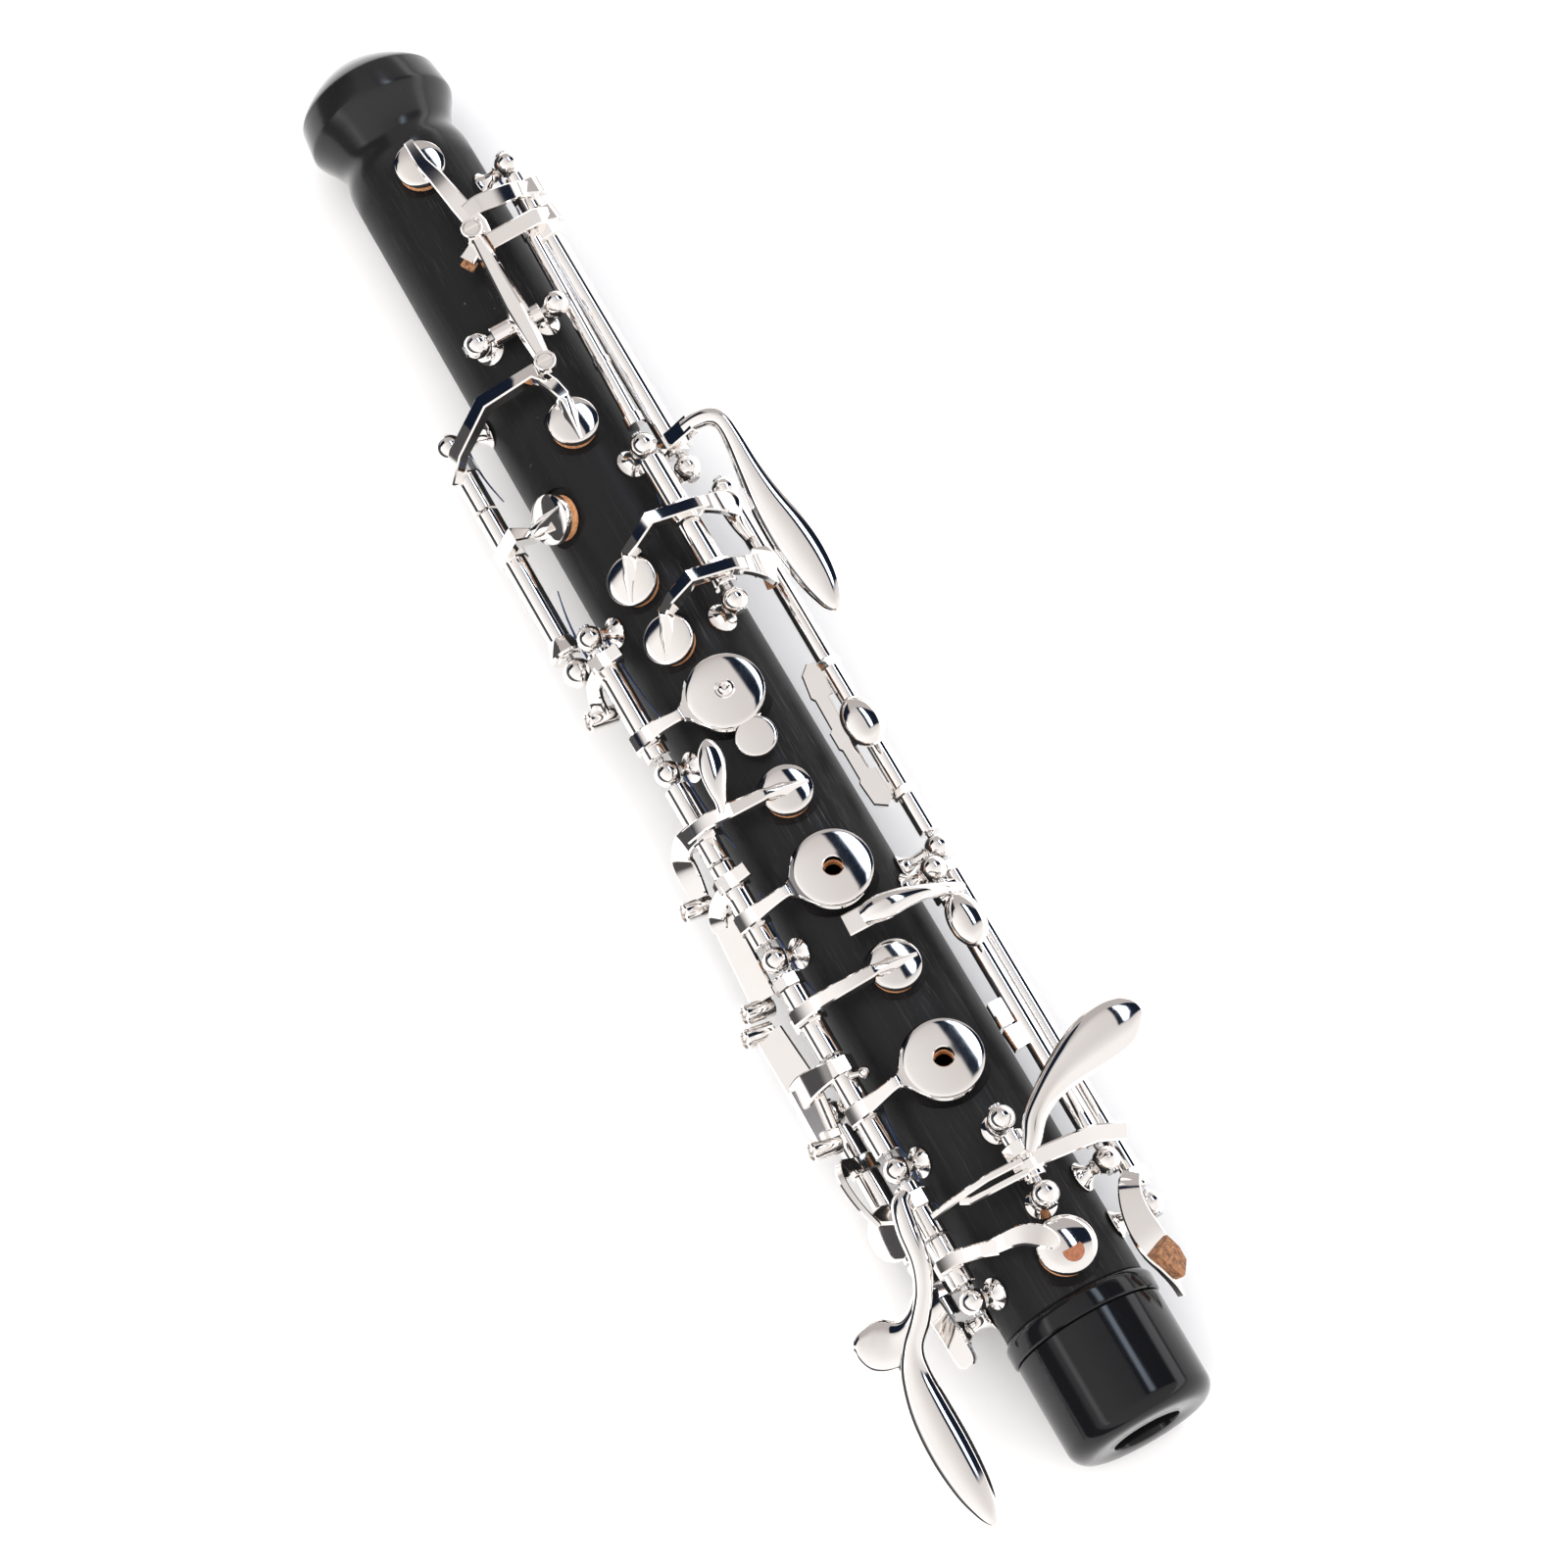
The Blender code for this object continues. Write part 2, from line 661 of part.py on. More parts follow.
def make_right_keys():
    x, z = UPPER_RIGHT
    plate = [(x, 218.9, z), (10.2, 218.8, 13.0), (3.4, 217.8, 15.0)]
    key(
        "top_trill_key",
        UPPER_RIGHT,
        (222.3, 215.2),
        [
            bar([*plate, (1.6, 219.4, 15.2), cup_point("top_trill", 1.4, 0, -1)]),
            cup_solid("top_trill"),
        ],
    )
    x, z = SHORT_STACK
    key(
        "upper_trill_key",
        SHORT_STACK,
        (166.6, 154.8),
        [
            bar([(x, 156.4, z), (5.0, 156.2, 16.4), (0.8, 155.4, 16.2), cup_point("upper_trill", 1.4)]),
            bar([(x, 156.4, z), (12.6, 156.0, 12.8), (15.0, 155.4, 9.0)]),
            cup_solid("upper_trill"),
        ],
    )
    key(
        "lower_trill_key",
        SHORT_STACK,
        (154.4, 142.3),
        [
            bar([(x, 145.2, z), (5.0, 145.0, 16.4), (1.2, 144.4, 16.2), cup_point("lower_trill", 1.4)]),
            bar([(x, 145.2, z), (12.6, 144.4, 12.8), (15.2, 142.4, 9.2)]),
            cup_solid("lower_trill"),
        ],
    )
    x, z = TRILL_LINE
    key(
        "upper_trill_lever",
        TRILL_LINE,
        (157.6, 95.1),
        [
            oval((16.4, 114.4, 7.8), (3.1, 4.0, 1.2)),
            bar([(x, 114.5, z), (16.2, 114.5, 7.4)]),
            box((13.4, 102.0, 4.4), (16.6, 127.0, 5.3)),
        ],
    )
    key(
        "bridge_lever_right",
        TRILL_LINE,
        (89.7, 31.2),
        [
            bar([(x, 32.2, z), (15.0, 31.8, 7.0), (14.4, 27.0, 7.0), (14.9, 21.5, 6.0)]),
            bar([(14.9, 21.5, 6.0), (16.0, 17.6, 4.2), (14.8, 14.6, 1.6)]),
        ],
    )
    x, z = LOW_INNER
    key(
        "lower_trill_lever",
        LOW_INNER,
        (85.9, 39.3),
        [
            oval((14.3, 78.0, 11.5), (2.9, 4.1, 1.2)),
            bar([(x, 78.0, z), (14.3, 78.0, 11.0)]),
            bar([(x, 84.2, z), (13.6, 84.3, 10.8), (8.6, 84.5, 14.4), (0.6, 84.6, 15.4)]),
            box((-1.9, 83.0, 14.9), (1.4, 86.2, 15.9)),
        ],
    )
    x, z = SHARP_LINE
    key(
        "sharp_key",
        SHARP_LINE,
        (45.0, 37.4),
        [
            bar([(x, 42.4, z), (6.5, 44.3, 16.2), (10.5, 47.0, 16.8), (16.5, 48.9, 17.2)]),
            oval((21.8, 50.6, 17.4), (8.0, 4.1, 0.9), 13),
            bar([(x, 39.2, z), (9.0, 38.4, 14.8), (17.8, 37.0, 12.2)]),
            bar([(x, 40.6, z), (-6.0, 40.6, 15.2), (-10.4, 40.2, 13.6)]),
        ],
    )


make_body()
make_tenon_end()
make_cap()
make_posts()
make_rod()
for cup_name in CUPS:
    make_pad(cup_name)
make_left_stack()
make_octave_keys()
make_rocker()
make_right_keys()
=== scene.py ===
import bmesh
import bpy
import json
import math
from mathutils import Matrix, Vector

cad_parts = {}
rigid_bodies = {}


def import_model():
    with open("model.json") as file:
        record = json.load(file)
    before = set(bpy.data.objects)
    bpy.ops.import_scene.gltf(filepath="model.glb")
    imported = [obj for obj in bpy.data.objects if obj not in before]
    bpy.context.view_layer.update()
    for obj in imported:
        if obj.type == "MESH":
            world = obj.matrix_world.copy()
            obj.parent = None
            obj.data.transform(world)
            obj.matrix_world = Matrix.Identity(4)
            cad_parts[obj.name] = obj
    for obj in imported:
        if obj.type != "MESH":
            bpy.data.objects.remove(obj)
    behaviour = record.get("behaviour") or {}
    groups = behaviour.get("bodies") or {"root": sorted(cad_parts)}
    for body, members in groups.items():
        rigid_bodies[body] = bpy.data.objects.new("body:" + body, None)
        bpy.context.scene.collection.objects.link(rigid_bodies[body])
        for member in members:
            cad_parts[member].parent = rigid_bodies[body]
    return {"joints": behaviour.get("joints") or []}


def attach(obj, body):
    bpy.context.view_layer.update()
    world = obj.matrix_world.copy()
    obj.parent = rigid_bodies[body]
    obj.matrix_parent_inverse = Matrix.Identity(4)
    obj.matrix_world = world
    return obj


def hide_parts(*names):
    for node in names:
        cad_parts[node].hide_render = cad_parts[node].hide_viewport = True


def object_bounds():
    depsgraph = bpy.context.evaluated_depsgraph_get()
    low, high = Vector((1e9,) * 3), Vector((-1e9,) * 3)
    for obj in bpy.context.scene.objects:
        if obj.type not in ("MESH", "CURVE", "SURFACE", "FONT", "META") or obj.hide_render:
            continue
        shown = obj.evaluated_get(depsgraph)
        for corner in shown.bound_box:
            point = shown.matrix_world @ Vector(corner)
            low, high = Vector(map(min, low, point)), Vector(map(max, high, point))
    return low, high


for startup in list(bpy.data.objects):
    bpy.data.objects.remove(startup, do_unlink=True)
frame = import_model()
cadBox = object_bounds()
mm = 0.001  # every size below is in millimetres

# What the whole instrument shares: the tapering tube and the stock that the keys are made from.
instrument = {
    "footY": 20.9,
    "radiusAtZero": 11.5,
    "taper": 0.0042,
    "tubeRadius": 1.98,
    "rodRadius": 0.6,
    "tubeSides": 40,
    "sharpAngle": 32,
}


class Value:  # a shader socket that takes part in Python expressions
    def __init__(self, finish, socket):
        self.finish = finish
        self.socket = socket

    def maths(self, operation, *others):
        sockets = {0: self}
        for place, other in enumerate(others, 1):
            sockets[place] = other
        return self.finish.node("ShaderNodeMath", {"operation": operation}, sockets)

    def __add__(self, other):
        return self.maths("ADD", other)

    def __sub__(self, other):
        return self.maths("SUBTRACT", other)

    def __rsub__(self, other):
        return self.finish.node("ShaderNodeMath", {"operation": "SUBTRACT"}, {0: other, 1: self})

    def __mul__(self, other):
        return self.maths("MULTIPLY", other)

    def __truediv__(self, other):
        return self.maths("DIVIDE", other)

    __radd__ = __add__
    __rmul__ = __mul__


class Finish:  # builds the node tree of one material or of the world
    def __init__(self, owner):
        self.owner = owner
        self.tree = owner.node_tree

    def node(self, kind, settings=None, sockets=None, output=0):
        made = self.tree.nodes.new(kind)
        for name, setting in (settings or {}).items():
            if name == "stops":
                ramp = made.color_ramp.elements
                while len(ramp) < len(setting):
                    ramp.new(0.5)
                for stop, (place, colour) in zip(ramp, setting):
                    stop.position = place
                    stop.color = (*colour, 1)
            else:
                setattr(made, name, setting)
        self.feed(made, sockets or {})
        return Value(self, made.outputs[output])

    def feed(self, made, sockets):
        for name, value in sockets.items():
            if isinstance(value, Value):
                self.tree.links.new(value.socket, made.inputs[name])
            elif isinstance(value, tuple) and len(value) == 3 and made.inputs[name].type == "RGBA":
                made.inputs[name].default_value = (*value, 1)
            else:
                made.inputs[name].default_value = value

    def noise(self, stretch, detail=3.0, roughness=0.55):
        # noise in object space, measured in bumps per metre along each axis
        where = self.node("ShaderNodeTexCoord", output=3)
        scaled = self.node("ShaderNodeVectorMath", {"operation": "MULTIPLY"}, {0: where, 1: stretch})
        return self.node(
            "ShaderNodeTexNoise",
            {},
            {"Vector": scaled, "Scale": 1.0, "Detail": detail, "Roughness": roughness},
        )

    def between(self, value, low, high, start=0.0, end=1.0):
        return self.node(
            "ShaderNodeMapRange",
            {"interpolation_type": "SMOOTHSTEP"},
            {"Value": value, "From Min": low, "From Max": high, "To Min": start, "To Max": end},
        )

    def blend(self, factor, one, two):
        mixed = self.tree.nodes.new("ShaderNodeMix")
        mixed.data_type = "RGBA"
        for place, value in ((0, factor), (6, one), (7, two)):
            if isinstance(value, Value):
                self.tree.links.new(value.socket, mixed.inputs[place])
            elif place:
                mixed.inputs[place].default_value = (*value, 1)
            else:
                mixed.inputs[place].default_value = value
        return Value(self, mixed.outputs[2])

    def bump(self, height, strength, distance):
        return self.node(
            "ShaderNodeBump", {}, {"Height": height, "Strength": strength, "Distance": distance}
        )


def newFinish(name):
    material = bpy.data.materials.new(name)
    material.use_nodes = True
    finish = Finish(material)
    finish.shader = material.node_tree.nodes["Principled BSDF"]
    return finish


def silverPlate(name, colour, roughness, smudge):
    finish = newFinish(name)
    haze = finish.noise((160.0, 160.0, 160.0), 4.0)
    hairlines = finish.noise((2600.0, 900.0, 2600.0), 2.0)
    tone = finish.between(haze, 0.35, 0.75)
    warm = tuple(part * shade for part, shade in zip(colour, (0.985, 0.965, 0.94)))
    finish.feed(
        finish.shader,
        {
            "Base Color": finish.blend(tone * 0.6, colour, warm),
            "Metallic": 1.0,
            "Roughness": roughness + smudge * tone + smudge * 0.6 * hairlines,
            "Normal": finish.bump(hairlines, 0.008, 0.00002),
        },
    )
    return finish.owner


def brushedBlack():
    look = {
        "base": (0.0115, 0.0112, 0.0116),
        # colour of the real wear streaks, also used for the painted sheen along the +x side of the tube
        "wornAndSheen": (0.085, 0.08, 0.079),
        "roughness": 0.4,
        "bulbRoughness": 0.22,
    }
    finish = newFinish("blackwood")
    where = finish.node("ShaderNodeTexCoord", output=3)
    split = finish.node("ShaderNodeSeparateXYZ", {}, {"Vector": where}, output=1)
    side = finish.node("ShaderNodeSeparateXYZ", {}, {"Vector": where}, output=0)
    streaks = finish.noise((5600.0, 150.0, 5600.0), 3.0, 0.6)
    longer = finish.noise((1500.0, 26.0, 1500.0), 3.0, 0.5)
    patches = finish.noise((90.0, 45.0, 90.0), 3.0)
    specks = finish.noise((1100.0, 1100.0, 1100.0), 1.0)
    bulb = finish.between(split, 0.232, 0.238)
    lines = finish.between(streaks, 0.55, 0.76) * finish.between(patches, 0.36, 0.6)
    lines = lines + finish.between(longer, 0.58, 0.8) * 0.4
    # painted sheen: streaks are drawn at 35% strength on the -x side and full strength on the +x side, so
    # the right of the tube reads lighter as a painted highlight over the real wear streaks
    lines = lines * (1 - bulb * 0.85) * (0.35 + 0.65 * finish.between(side, -0.004, 0.004))
    dust = finish.between(specks, 0.79, 0.84) * 0.7
    smoother = look["roughness"] - look["bulbRoughness"]
    finish.feed(
        finish.shader,
        {
            "Base Color": finish.blend(lines * 0.8 + dust, look["base"], look["wornAndSheen"]),
            "Roughness": look["roughness"] + lines * 0.1 - bulb * smoother,
            "IOR": 1.42,
            "Specular IOR Level": 0.13,
            "Coat Weight": 0.03 + bulb * 0.8,
            "Coat Roughness": 0.2,
            "Coat IOR": 1.36,
            "Normal": finish.bump(streaks + longer, 0.16, 0.00003),
        },
    )
    return finish.owner


def glossBlack():
    finish = newFinish("blackGloss")
    polish = finish.noise((900.0, 60.0, 900.0), 3.0)
    cloud = finish.noise((70.0, 70.0, 70.0), 2.0)
    finish.feed(
        finish.shader,
        {
            "Base Color": finish.blend(cloud, (0.004, 0.0042, 0.005), (0.007, 0.007, 0.008)),
            "Roughness": 0.1 + 0.09 * finish.between(polish, 0.4, 0.7),
            "IOR": 1.42,
            "Specular IOR Level": 0.3,
            "Coat Weight": 0.12,
            "Coat Roughness": 0.06,
            "Normal": finish.bump(polish, 0.05, 0.00002),
        },
    )
    return finish.owner


def corkSheet(name, dark, light, grain):
    finish = newFinish(name)
    cells = finish.noise((grain, grain, grain), 4.0, 0.7)
    pores = finish.noise((grain * 2.6, grain * 2.6, grain * 2.6), 2.0)
    tone = finish.between(cells, 0.34, 0.64)
    pits = finish.between(pores, 0.62, 0.74)
    colour = finish.blend(tone, dark, light)
    finish.feed(
        finish.shader,
        {
            "Base Color": finish.blend(pits * 0.7, colour, tuple(part * 0.4 for part in dark)),
            "Roughness": 0.72 + 0.2 * tone,
            "Normal": finish.bump(cells - pits * 0.8, 0.5, 0.00012),
        },
    )
    return finish.owner


def drawnSteel(name, colour, roughness):
    finish = newFinish(name)
    drawn = finish.noise((4000.0, 160.0, 4000.0), 2.0)
    finish.feed(
        finish.shader,
        {
            "Base Color": finish.blend(drawn, colour, tuple(part * 0.7 for part in colour)),
            "Metallic": 1.0,
            "Roughness": roughness + 0.14 * drawn,
        },
    )
    return finish.owner


finishes = {
    "silver": silverPlate("silverPlate", (0.93, 0.905, 0.885), 0.035, 0.035),
    "black": brushedBlack(),
    "gloss": glossBlack(),
    "pad": corkSheet("padCork", (0.42, 0.17, 0.065), (0.72, 0.36, 0.17), 1900.0),
    "cork": corkSheet("bumperCork", (0.12, 0.055, 0.028), (0.40, 0.19, 0.09), 1500.0),
    "brown": corkSheet("ventDisc", (0.22, 0.075, 0.035), (0.36, 0.14, 0.075), 2300.0),
    "steel": drawnSteel("drawnSteel", (0.8, 0.785, 0.775), 0.12),
    "blued": drawnSteel("bluedNeedle", (0.07, 0.11, 0.24), 0.22),
}
print("finishes ready:", len(finishes))


def bodyRadius(y):
    return instrument["radiusAtZero"] - instrument["taper"] * y


def outward(angle):
    return Matrix.Rotation(math.radians(angle), 4, "Y")


def at(x, y, z):
    return Matrix.Translation(Vector((x, y, z)))


def facing(spot, direction):
    # frame whose own Z runs along the direction
    turn = Vector(direction).to_track_quat("Z", "Y").to_matrix().to_4x4()
    return Matrix.Translation(Vector(spot)) @ turn


def hingeOf(body):
    for joint in frame["joints"]:
        if joint["child"] == body:
            x, y, z = joint["pos_m"]
            return x / mm, z / mm
    raise ValueError(body)


def fullRow(row):
    # x, y, z, width, height, ridge, then the way up; by default up points away from the bore
    x, y, z = row[:3]
    ridge = row[5] if len(row) > 5 else 0.0
    up = row[6:9] if len(row) > 8 else Vector((x, 0, z)).normalized()
    return [x, y, z, row[3], row[4], ridge, *up]


def lying(rows, up=(-0.1, 0, 1)):
    # the same rows with one fixed way up
    return [(*row[:5], row[5] if len(row) > 5 else 0.0, *up) for row in rows]


def flowing(rows, steps=6):
    # a smooth line through the rows, sizes and tilt included
    full = [fullRow(row) for row in rows]
    full = [full[0], *full, full[-1]]
    result = []
    for place in range(1, len(full) - 2):
        for step in range(steps):
            t = step / steps
            result.append(
                [
                    0.5 * (2 * b + (c - a) * t + (2 * a - 5 * b + 4 * c - d) * t**2)
                    + 0.5 * (3 * b - a - 3 * c + d) * t**3
                    for a, b, c, d in zip(*full[place - 1 : place + 3])
                ]
            )
    result.append(full[-1])
    return result


def bladeSection(width, height, ridge):
    # flat-sided bar; ridge 1 brings its top to an edge
    half = width / 2
    top = half * (1 - ridge)
    cut = min(0.24, width * 0.2, height * 0.3)
    shoulder = half + (top - half) * (height - cut) / height
    inner = max(top - cut, 0.02)
    low = -height / 2
    right = [(half - cut * 0.6, low), (half, low + cut * 0.6), (shoulder, -low - cut), (inner, -low)]
    return right + [(-across, up) for across, up in reversed(right)]


def crownSection(width, height, ridge):
    # domed above and flatter below, as a finger touch is
    count = 20
    points = []
    for step in range(count):
        turn = 2 * math.pi * step / count
        rise = math.sin(turn)
        tall = height * 0.66 if rise > 0 else height * 0.34
        points.append((width / 2 * math.cos(turn), tall * rise))
    return points


sleeveAim = Vector((-1, 0.05, 0.38)).normalized()


class Smithing:  # gathers closed shells and turns them into one piece
    def __init__(self):
        self.points = []
        self.faces = []
        self.soft = []

    def add(self, points, faces, soft=True):
        first = len(self.points)
        self.points += [tuple(point) for point in points]
        self.faces += [[first + index for index in face] for face in faces]
        self.soft += [soft] * len(faces)

    def lathe(self, profile, place, sides=32, loop=False, soft=True, phase=0.0):
        points = []
        rings = []
        faces = []
        for radius, height in profile:
            count = 1 if radius == 0 else sides
            rings.append(range(len(points), len(points) + count))
            for step in range(count):
                turn = 2 * math.pi * step / sides + math.radians(phase)
                spot = (radius * math.cos(turn), radius * math.sin(turn), height)
                points.append(place @ Vector(spot))
        pairs = list(zip(rings, rings[1:]))
        if loop:
            pairs.append((rings[-1], rings[0]))
        for one, two in pairs:
            for step in range(sides):
                following = (step + 1) % sides
                corners = [one[step % len(one)], two[step % len(two)]]
                corners += [two[following % len(two)], one[following % len(one)]]
                faces.append(list(dict.fromkeys(corners)))
        if not loop:
            faces += [list(ring) for ring in (rings[0], rings[-1]) if len(ring) > 1]
        self.add(points, faces, soft)

    def sweep(self, rows, section, soft):
        rows = [fullRow(row) if len(row) < 9 else row for row in rows]
        rings = []
        for place, row in enumerate(rows):
            here = Vector(row[:3])
            before = Vector(rows[max(place - 1, 0)][:3])
            after = Vector(rows[min(place + 1, len(rows) - 1)][:3])
            arriving = (here - before if place else after - here).normalized()
            leaving = (after - here).normalized() if place < len(rows) - 1 else arriving
            mitre = (arriving + leaving).normalized()
            side = arriving.cross(Vector(row[6:9])).normalized()
            up = side.cross(arriving)
            ring = []
            for across, rise in section(row[3], row[4], row[5]):
                offset = side * across + up * rise
                offset -= arriving * (offset.dot(mitre) / arriving.dot(mitre))
                ring.append(here + offset)
            rings.append(ring)
        count = len(rings[0])
        faces = []
        for one in range(len(rings) - 1):
            for step in range(count):
                following = (step + 1) % count
                low = one * count
                high = low + count
                faces.append([low + step, low + following, high + following, high + step])
        faces.append(list(range(count)))
        faces.append([(len(rings) - 1) * count + step for step in range(count)])
        self.add([point for ring in rings for point in ring], faces, soft)

    def bar(self, rows):
        self.sweep(rows, bladeSection, False)

    def bentBar(self, rows, steps=5):
        self.sweep(flowing(rows, steps), bladeSection, True)

    def leaf(self, rows, steps=7):
        self.sweep(flowing(rows, steps), crownSection, True)

    def hingeTube(self, line, high, low, outer):
        inner = instrument["rodRadius"] + 0.12
        profile = [
            (inner, low),
            (outer - 0.14, low),
            (outer, low + 0.14),
            (outer, high - 0.14),
            (outer - 0.14, high),
            (inner, high),
        ]
        place = at(line[0], 0, line[1]) @ Matrix.Rotation(math.radians(-90), 4, "X")
        self.lathe(profile, place, instrument["tubeSides"], loop=True)

    def saddle(self, line, y, width, radius=2.6):
        # faceted collar that joins an arm to its hinge tube
        half = width / 2
        profile = [(0, -half), (radius - 0.22, -half), (radius, 0.22 - half)]
        profile += [(radius, half - 0.22), (radius - 0.22, half), (0, half)]
        turn = Matrix.Rotation(math.radians(-90), 4, "X")
        lean = math.degrees(math.atan2(line[0], line[1]))
        self.lathe(profile, at(line[0], y, line[1]) @ turn, 8, soft=False, phase=22.5 - lean)

    def sleeve(self, x, y, z, length=4.8, radius=1.6):
        # open-ended cross sleeve that holds an adjusting screw
        half = length / 2
        profile = [
            (0, -half),
            (radius - 0.15, -half),
            (radius, 0.15 - half),
            (radius, half - 0.2),
            (radius - 0.2, half),
            (radius - 0.3, half),
            (radius - 0.3, half - 0.7),
            (0, half - 0.7),
        ]
        self.lathe(profile, facing((x, y, z), sleeveAim), 28)

    def piece(self, name, material):
        mesh = bpy.data.meshes.new(name)
        mesh.from_pydata([[part * mm for part in point] for point in self.points], [], self.faces)
        mesh.polygons.foreach_set("use_smooth", self.soft)
        return finished(name, mesh, material)


def finished(name, mesh, material):
    # turns every closed shell's faces outwards and marks its crisp edges
    shape = bmesh.new()
    shape.from_mesh(mesh)
    bmesh.ops.recalc_face_normals(shape, faces=shape.faces)
    shape.to_mesh(mesh)
    shape.free()
    mesh.set_sharp_from_angle(angle=math.radians(instrument["sharpAngle"]))
    mesh.materials.clear()
    mesh.materials.append(finishes[material])
    made = bpy.data.objects.new(name, mesh)
    bpy.context.scene.collection.objects.link(made)
    return made


def settle(piece, body, slot, *nodes):
    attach(piece, body)
    if nodes:
        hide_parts(*nodes)


class NodeRecipe:  # a geometry node tree with named inputs
    def __init__(self, name, inputs):
        self.tree = bpy.data.node_groups.new(name, "GeometryNodeTree")
        face = self.tree.interface
        face.new_socket("Geometry", in_out="INPUT", socket_type="NodeSocketGeometry")
        self.identifiers = {}
        for label, kind in inputs.items():
            socket = face.new_socket(label, in_out="INPUT", socket_type=kind)
            self.identifiers[label] = socket.identifier
        face.new_socket("Geometry", in_out="OUTPUT", socket_type="NodeSocketGeometry")
        self.start = self.tree.nodes.new("NodeGroupInput")
        self.end = self.tree.nodes.new("NodeGroupOutput")

    def given(self, label):
        return self.start.outputs[label]

    def node(self, kind, settings=None, sockets=None, output=0):
        made = self.tree.nodes.new(kind)
        for name, setting in (settings or {}).items():
            setattr(made, name, setting)
        for name, value in (sockets or {}).items():
            if isinstance(value, bpy.types.NodeSocket):
                self.tree.links.new(value, made.inputs[name])
            else:
                made.inputs[name].default_value = value
        return made.outputs[output]

    def close(self, geometry):
        real = self.node("GeometryNodeRealizeInstances", {}, {"Geometry": geometry})
        coated = self.node("GeometryNodeSetMaterial", {}, {0: real, "Material": self.given("Material")})
        self.tree.links.new(coated, self.end.inputs[0])

    def run(self, name, source, values, material):
        # source is a mesh of points or lines; the result is a plain mesh
        holder = bpy.data.objects.new(name + "Source", source)
        bpy.context.scene.collection.objects.link(holder)
        recipe = holder.modifiers.new("recipe", "NODES")
        recipe.node_group = self.tree
        for label, value in {**values, "Material": finishes[material]}.items():
            recipe[self.identifiers[label]] = value
        bpy.context.view_layer.update()
        graph = bpy.context.evaluated_depsgraph_get()
        mesh = bpy.data.meshes.new_from_object(holder.evaluated_get(graph))
        bpy.data.objects.remove(holder, do_unlink=True)
        mesh.name = name
        mesh.polygons.foreach_set("use_smooth", [True] * len(mesh.polygons))
        return finished(name, mesh, material)


def linesMesh(name, lines):
    # each line is a list of (point, radius) pairs
    points = []
    edges = []
    radii = []
    for line in lines:
        for step, (point, radius) in enumerate(line):
            if step:
                edges.append((len(points) - 1, len(points)))
            points.append([part * mm for part in point])
            radii.append(radius * mm)
    mesh = bpy.data.meshes.new(name)
    mesh.from_pydata(points, edges, [])
    layer = mesh.attributes.new("turnRadius", "FLOAT", "POINT")
    layer.data.foreach_set("value", radii)
    return mesh


def pointsMesh(name, spots):
    # each spot is (point, direction, size)
    mesh = bpy.data.meshes.new(name)
    mesh.from_pydata([[part * mm for part in point] for point, aim, size in spots], [], [])
    aims = mesh.attributes.new("aim", "FLOAT_VECTOR", "POINT")
    aims.data.foreach_set("vector", [part for point, aim, size in spots for part in aim])
    sizes = mesh.attributes.new("size", "FLOAT", "POINT")
    sizes.data.foreach_set("value", [size for point, aim, size in spots])
    return mesh


def turningRecipe():
    # turns lines that carry a radius into round bodies: the tube, the posts and the needles
    recipe = NodeRecipe("turnedWork", {"Sides": "NodeSocketInt", "Material": "NodeSocketMaterial"})
    radius = recipe.node(
        "GeometryNodeInputNamedAttribute", {"data_type": "FLOAT"}, {"Name": "turnRadius"}
    )
    curve = recipe.node("GeometryNodeMeshToCurve", {}, {"Mesh": recipe.given("Geometry")})
    circle = recipe.node(
        "GeometryNodeCurvePrimitiveCircle", {}, {"Resolution": recipe.given("Sides"), "Radius": 1.0}
    )
    skin = recipe.node(
        "GeometryNodeCurveToMesh",
        {},
        {"Curve": curve, "Profile Curve": circle, "Scale": radius, "Fill Caps": True},
    )
    joined = recipe.node("GeometryNodeMergeByDistance", {}, {"Geometry": skin, "Distance": 0.0000008})
    recipe.close(joined)
    return recipe


def screwRecipe():
    # slotted screw heads, one on each point, turned to face its aim
    inputs = {
        "Head radius": "NodeSocketFloat",
        "Head height": "NodeSocketFloat",
        "Slot width": "NodeSocketFloat",
        "Material": "NodeSocketMaterial",
    }
    recipe = NodeRecipe("slottedScrews", inputs)
    head = recipe.node(
        "GeometryNodeMeshCylinder",
        {},
        {"Vertices": 28, "Radius": recipe.given("Head radius"), "Depth": recipe.given("Head height")},
    )
    length = recipe.node(
        "ShaderNodeMath", {"operation": "MULTIPLY"}, {0: recipe.given("Head radius"), 1: 3.0}
    )
    size = recipe.node(
        "ShaderNodeCombineXYZ",
        {},
        {"X": length, "Y": recipe.given("Slot width"), "Z": recipe.given("Head height")},
    )
    lift = recipe.node("ShaderNodeCombineXYZ", {}, {"Z": recipe.given("Head height")})
    half = recipe.node("ShaderNodeVectorMath", {"operation": "SCALE"}, {0: lift, "Scale": 0.55})
    slot = recipe.node("GeometryNodeMeshCube", {}, {"Size": size})
    raised = recipe.node("GeometryNodeTransform", {}, {"Geometry": slot, "Translation": half})
    cut = recipe.node(
        "GeometryNodeMeshBoolean",
        {"operation": "DIFFERENCE", "solver": "EXACT"},
        {"Mesh 1": head, "Mesh 2": raised},
    )
    aim = recipe.node(
        "GeometryNodeInputNamedAttribute", {"data_type": "FLOAT_VECTOR"}, {"Name": "aim"}
    )
    size = recipe.node("GeometryNodeInputNamedAttribute", {"data_type": "FLOAT"}, {"Name": "size"})
    turn = recipe.node(
        "FunctionNodeAlignRotationToVector", {"axis": "Z"}, {"Vector": aim}
    )
    many = recipe.node(
        "GeometryNodeInstanceOnPoints",
        {},
        {"Points": recipe.given("Geometry"), "Instance": cut, "Rotation": turn, "Scale": size},
    )
    recipe.close(many)
    return recipe


turnedWork = turningRecipe()
slottedScrews = screwRecipe()
print("geometry node trees ready")


